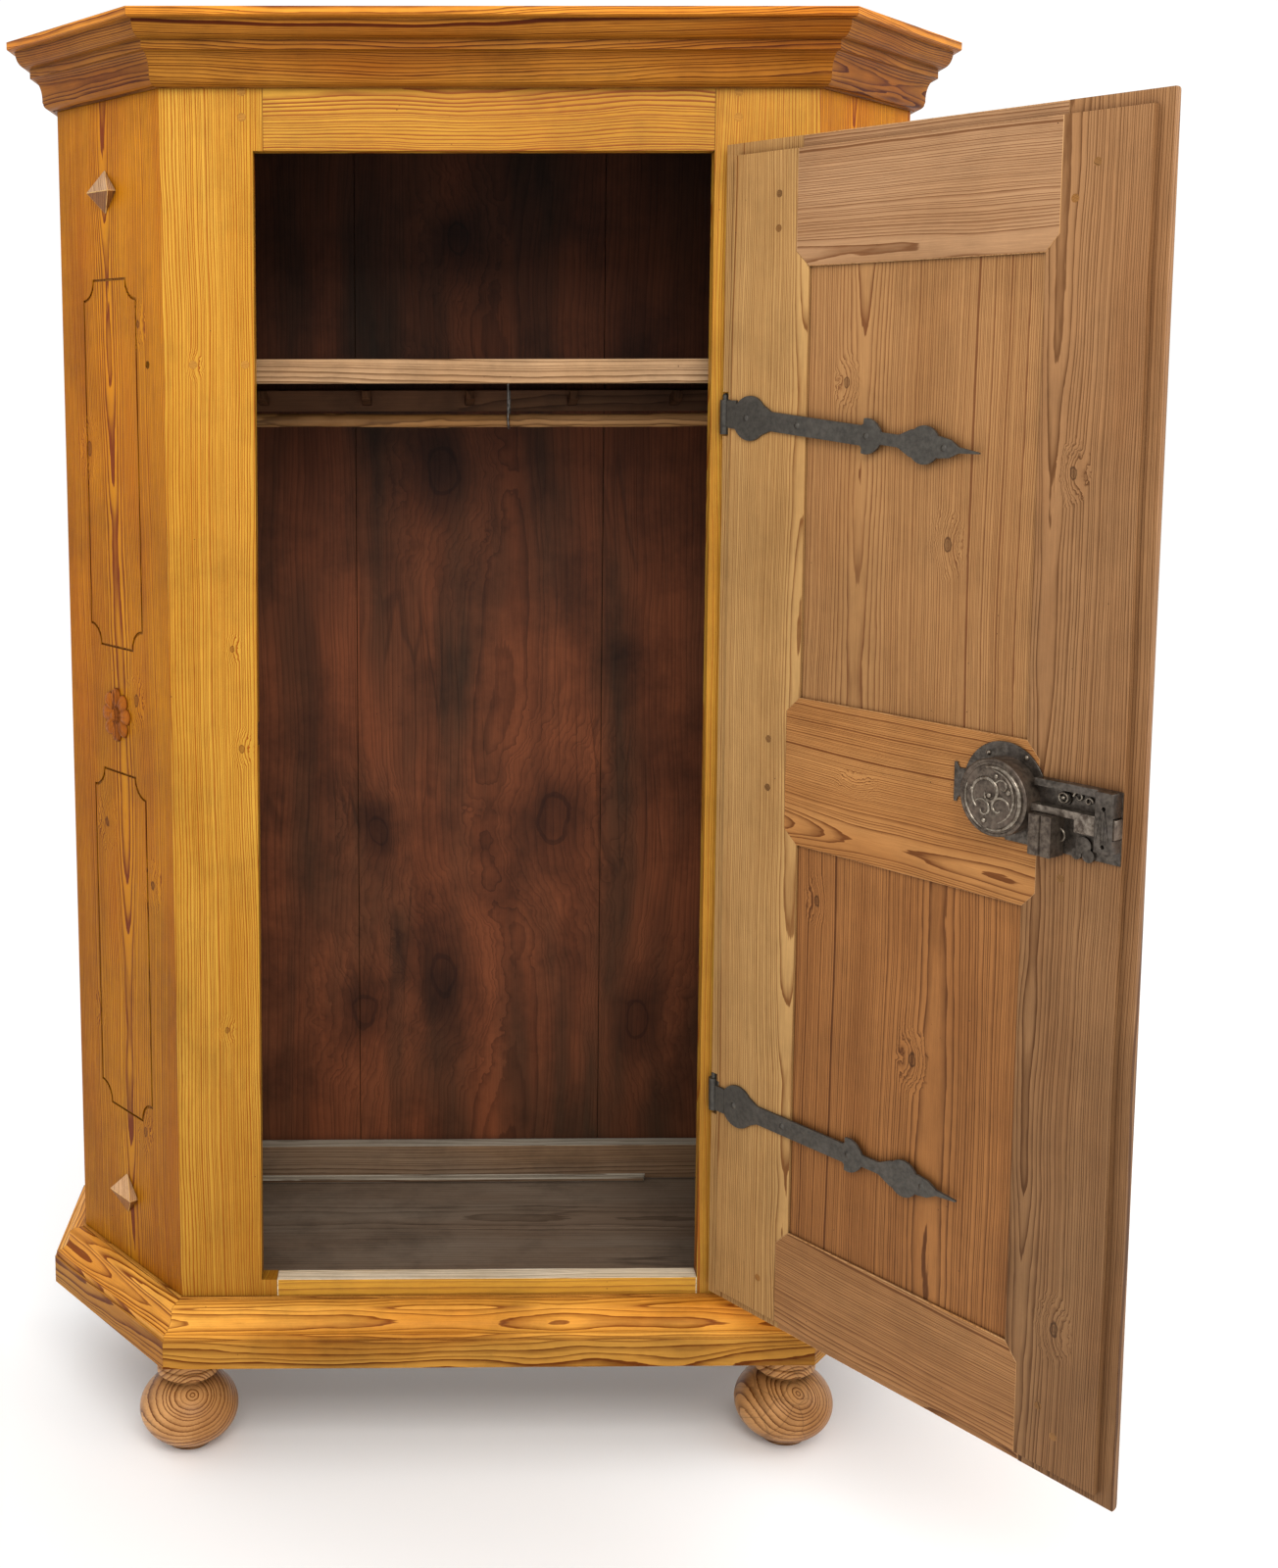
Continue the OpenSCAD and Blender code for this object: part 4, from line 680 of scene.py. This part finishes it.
# The last column darkens the stiles and panels towards a lower height: painted shade, as less light
# reaches the lower door
for name, x, depth, up, turn, seed, ring, pale, mid, line, knots, door_shade_by_height in (
        ("hinge_stile", 150, 60, 0, DOOR_TURN, 41, 2.1, "#C4995F", "#B0844E", "#7C4E24", (),
         (1.4, 0.3, 0.16)),
        ("lock_stile", -180, 70, 0, DOOR_TURN, 42, 2.3, "#A87C52", "#966840", "#664020",
         ((-230, 8, 420, 6), (-215, 8, 1330, 5)), (1.4, 0.5, 0.36)),
        ("door_top_rail", 0, 60, 1560, DOOR_RAIL_TURN, 43, 2.2, "#B78D66", "#A37851", "#784E2E", (),
         (0, 0, 0)),
        ("door_mid_rail", 0, 60, 890, DOOR_RAIL_TURN, 44, 1.9, "#B9824A", "#A36B37", "#6E3E18",
         ((60, 8, 960, 5),), (0, 0, 0)),
        ("door_bottom_rail", 0, 70, 240, DOOR_RAIL_TURN, 45, 2.4, "#A27448", "#8E6038", "#663E1E", (),
         (0, 0, 0)),
        ("panel_upper", 70, 60, 0, DOOR_TURN, 46, 2.6, "#B68755", "#A27344", "#764826",
         ((-60, 4, 1250, 6), (90, 4, 1420, 5)), (1.5, 1.1, 0.1)),
        ("panel_lower", -60, 66, 0, DOOR_TURN, 47, 2.7, "#A66F3D", "#8D592D", "#5C3416",
         ((120, 4, 800, 5), (-30, 4, 650, 6)), (0.9, 0.4, 0.12))):
    door_inside = pine(name + "_bare_pine", on_door(x, depth, up), turn=turn, seed=seed, ring=ring,
                       wander=6, pale=pale, mid=mid, line=line, tint=mid, dirt=0.22, rough=0.55,
                       shade_by_height=door_shade_by_height, contrast=1.5, lean=(0.004, 0.008),
                       knots=[(*on_door(*spot[:3]), spot[3]) for spot in knots])
    door_outside = pine(name + "_waxed_pine", on_door(x, -depth, up), turn=turn, seed=seed + 10,
                        ring=ring, wander=6, pale="#D4A23C", mid="#B8801E", line="#9A500C",
                        tint="#A05C0A", contrast=1.6, wax=0.1)
    dress(name, door_inside, door_worn, 1.0, door_outside, outside_of_door)
door_peg_wood = pine("door_peg_end_grain", (0, 0, 0), turn=(math.radians(90), 0, OPEN), ring=1.3, wander=2,
                     seed=48, pale="#8E6438", mid="#74502A", line="#4A2E14", dirt=0.4)
dress("door_pegs", door_peg_wood, None, 0.5)

# ---- Hinges ----
# Each strap is forged from one bar, drawn out to a point between round leaves, cranked round the
# door's edge and rolled into an eye that turns on a pintle in the stile. Domed nails hold it.

strap_iron = iron("forged_black_iron", "#514D46", "#433F3A", "#43382E", rough=0.42, hammered=0.2,
                  rusty=0.25, metal=0.6, scale=70)
for name in ("strap_upper", "strap_lower"):
    dress(name, strap_iron, None, 0.7)
for name in ("pintle_upper", "pintle_lower", "strap_nails"):
    dress(name, strap_iron, None, 0.25)

# ---- Lock ----
# A hand-made spring lock on the door's inner face: a plate, a round chased drum over the works, a
# bolt that slides in a bracket, a bar above it, and small leaf ornaments cut from sheet.

lock_steel = iron("filed_lock_steel", "#857A6E", "#4A4038", "#58422F", rough=0.3, hammered=0.1, rusty=0.4,
                  metal=0.9)
brown_steel = iron("browned_lock_steel", "#65594D", "#40362E", "#503C2C", rough=0.4, hammered=0.2,
                   rusty=0.5, metal=0.7)
dark_steel = iron("blackened_lock_steel", "#5C544C", "#3A342E", "#44362C", rough=0.3, hammered=0.1,
                  rusty=0.3, metal=0.85)
for name, skin, edge in (("lock_plate", dark_steel, 0.4), ("lock_drum", brown_steel, 0),
                         ("lock_spring", dark_steel, 0), ("lock_bracket", dark_steel, 0.9),
                         ("lock_guide", brown_steel, 0.8), ("lock_leaf", dark_steel, 0.5),
                         ("escutcheon", dark_steel, 0.5), ("lock_bolt", lock_steel, 1.0)):
    dress(name, skin, None, edge)

# The drum's middle on the closed door, from the middle of the doorway and up, and its face's depth
DRUM_X, DRUM_Z, DRUM_FACE = -149, 985, 34.0
scroll_steel = iron("chased_scroll_steel", "#948A7C", "#5C5146", "#5C4432", rough=0.26, hammered=0.08,
                    rusty=0.25, metal=0.9)


def scroll(x, z, first, last, start, turn, depth=DRUM_FACE):
    """A curved line round (x, z): its distance goes from first to last while it turns by turn."""
    points = []
    for i in range(49):
        far = i / 48
        reach = first + (last - first) * far
        around = math.radians(start + turn * far)
        points.append(on_door(x + reach * math.cos(around), depth, z + reach * math.sin(around)))
    return points


# Chasing on the drum: leaves follow the rim, curls fill the middle, with round buds. The curls
# beside it stand on the end plate and the leaf below.
for i, (dx, dz, first, last, start, turn, thick) in enumerate((
        (0, 0, 33, 35, 75, 205, 5.2), (3, 3, 27, 31, 100, 150, 3.6), (6, 4, 22, 3, -50, 420, 4.4),
        (-8, -10, 15, 3, 200, -330, 3.8), (12, -14, 12, 2, 40, 330, 3.4), (-12, 13, 10, 2, -20, 320, 3.0),
        (0, 0, 36, 34, -70, 90, 3.2))):
    bent_wire("drum_scroll_%d" % i, scroll(DRUM_X + dx, DRUM_Z + dz, first, last, start, turn), thick,
              scroll_steel, "door",
              taper=lambda t: 0.25 + 0.85 * math.sin(math.pi * (0.12 + 0.8 * t)))
for i, (x, z, first, last, start, turn, depth) in enumerate((
        (-238, 999, 6, 1.5, 0, 380, 12), (-250, 996, 5, 1.2, 180, -380, 12),
        (-222, 996, 5.2, 5.2, 0, 360, 15),
        (-219, 955, 9, 3, 80, 260, 16))):
    bent_wire("lock_curl_%d" % i, scroll(x, z, first, last, start, turn, depth), 2.6, scroll_steel, "door",
              taper=lambda t: 1.15 - 0.6 * t)
buds = bmesh.new()
for x, z, depth, r in ((-20, 9, DRUM_FACE, 3.4), (-4, 24, DRUM_FACE, 3.0), (10, -26, DRUM_FACE, 3.0),
                       (26, 6, DRUM_FACE, 2.6), (4, 2, DRUM_FACE, 3.2),
                       (-73, 11, 14.5, 2.4), (-24, 44, 10, 3.0), (24, 42, 10, 3.0), (52, 2, 10, 3.0)):
    bmesh.ops.create_uvsphere(buds, u_segments=20, v_segments=12, radius=r * MM,
                              matrix=Matrix.Translation(on_door(DRUM_X + x, depth, DRUM_Z + z)))
for face in buds.faces:
    face.smooth = True
buds_shape = bpy.data.meshes.new("chased_buds_and_rivets")
buds.to_mesh(buds_shape)
buds_shape.materials.append(scroll_steel)
rivets = bpy.data.objects.new("chased_buds_and_rivets", buds_shape)
bpy.context.scene.collection.objects.link(rivets)
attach(rivets, "door")
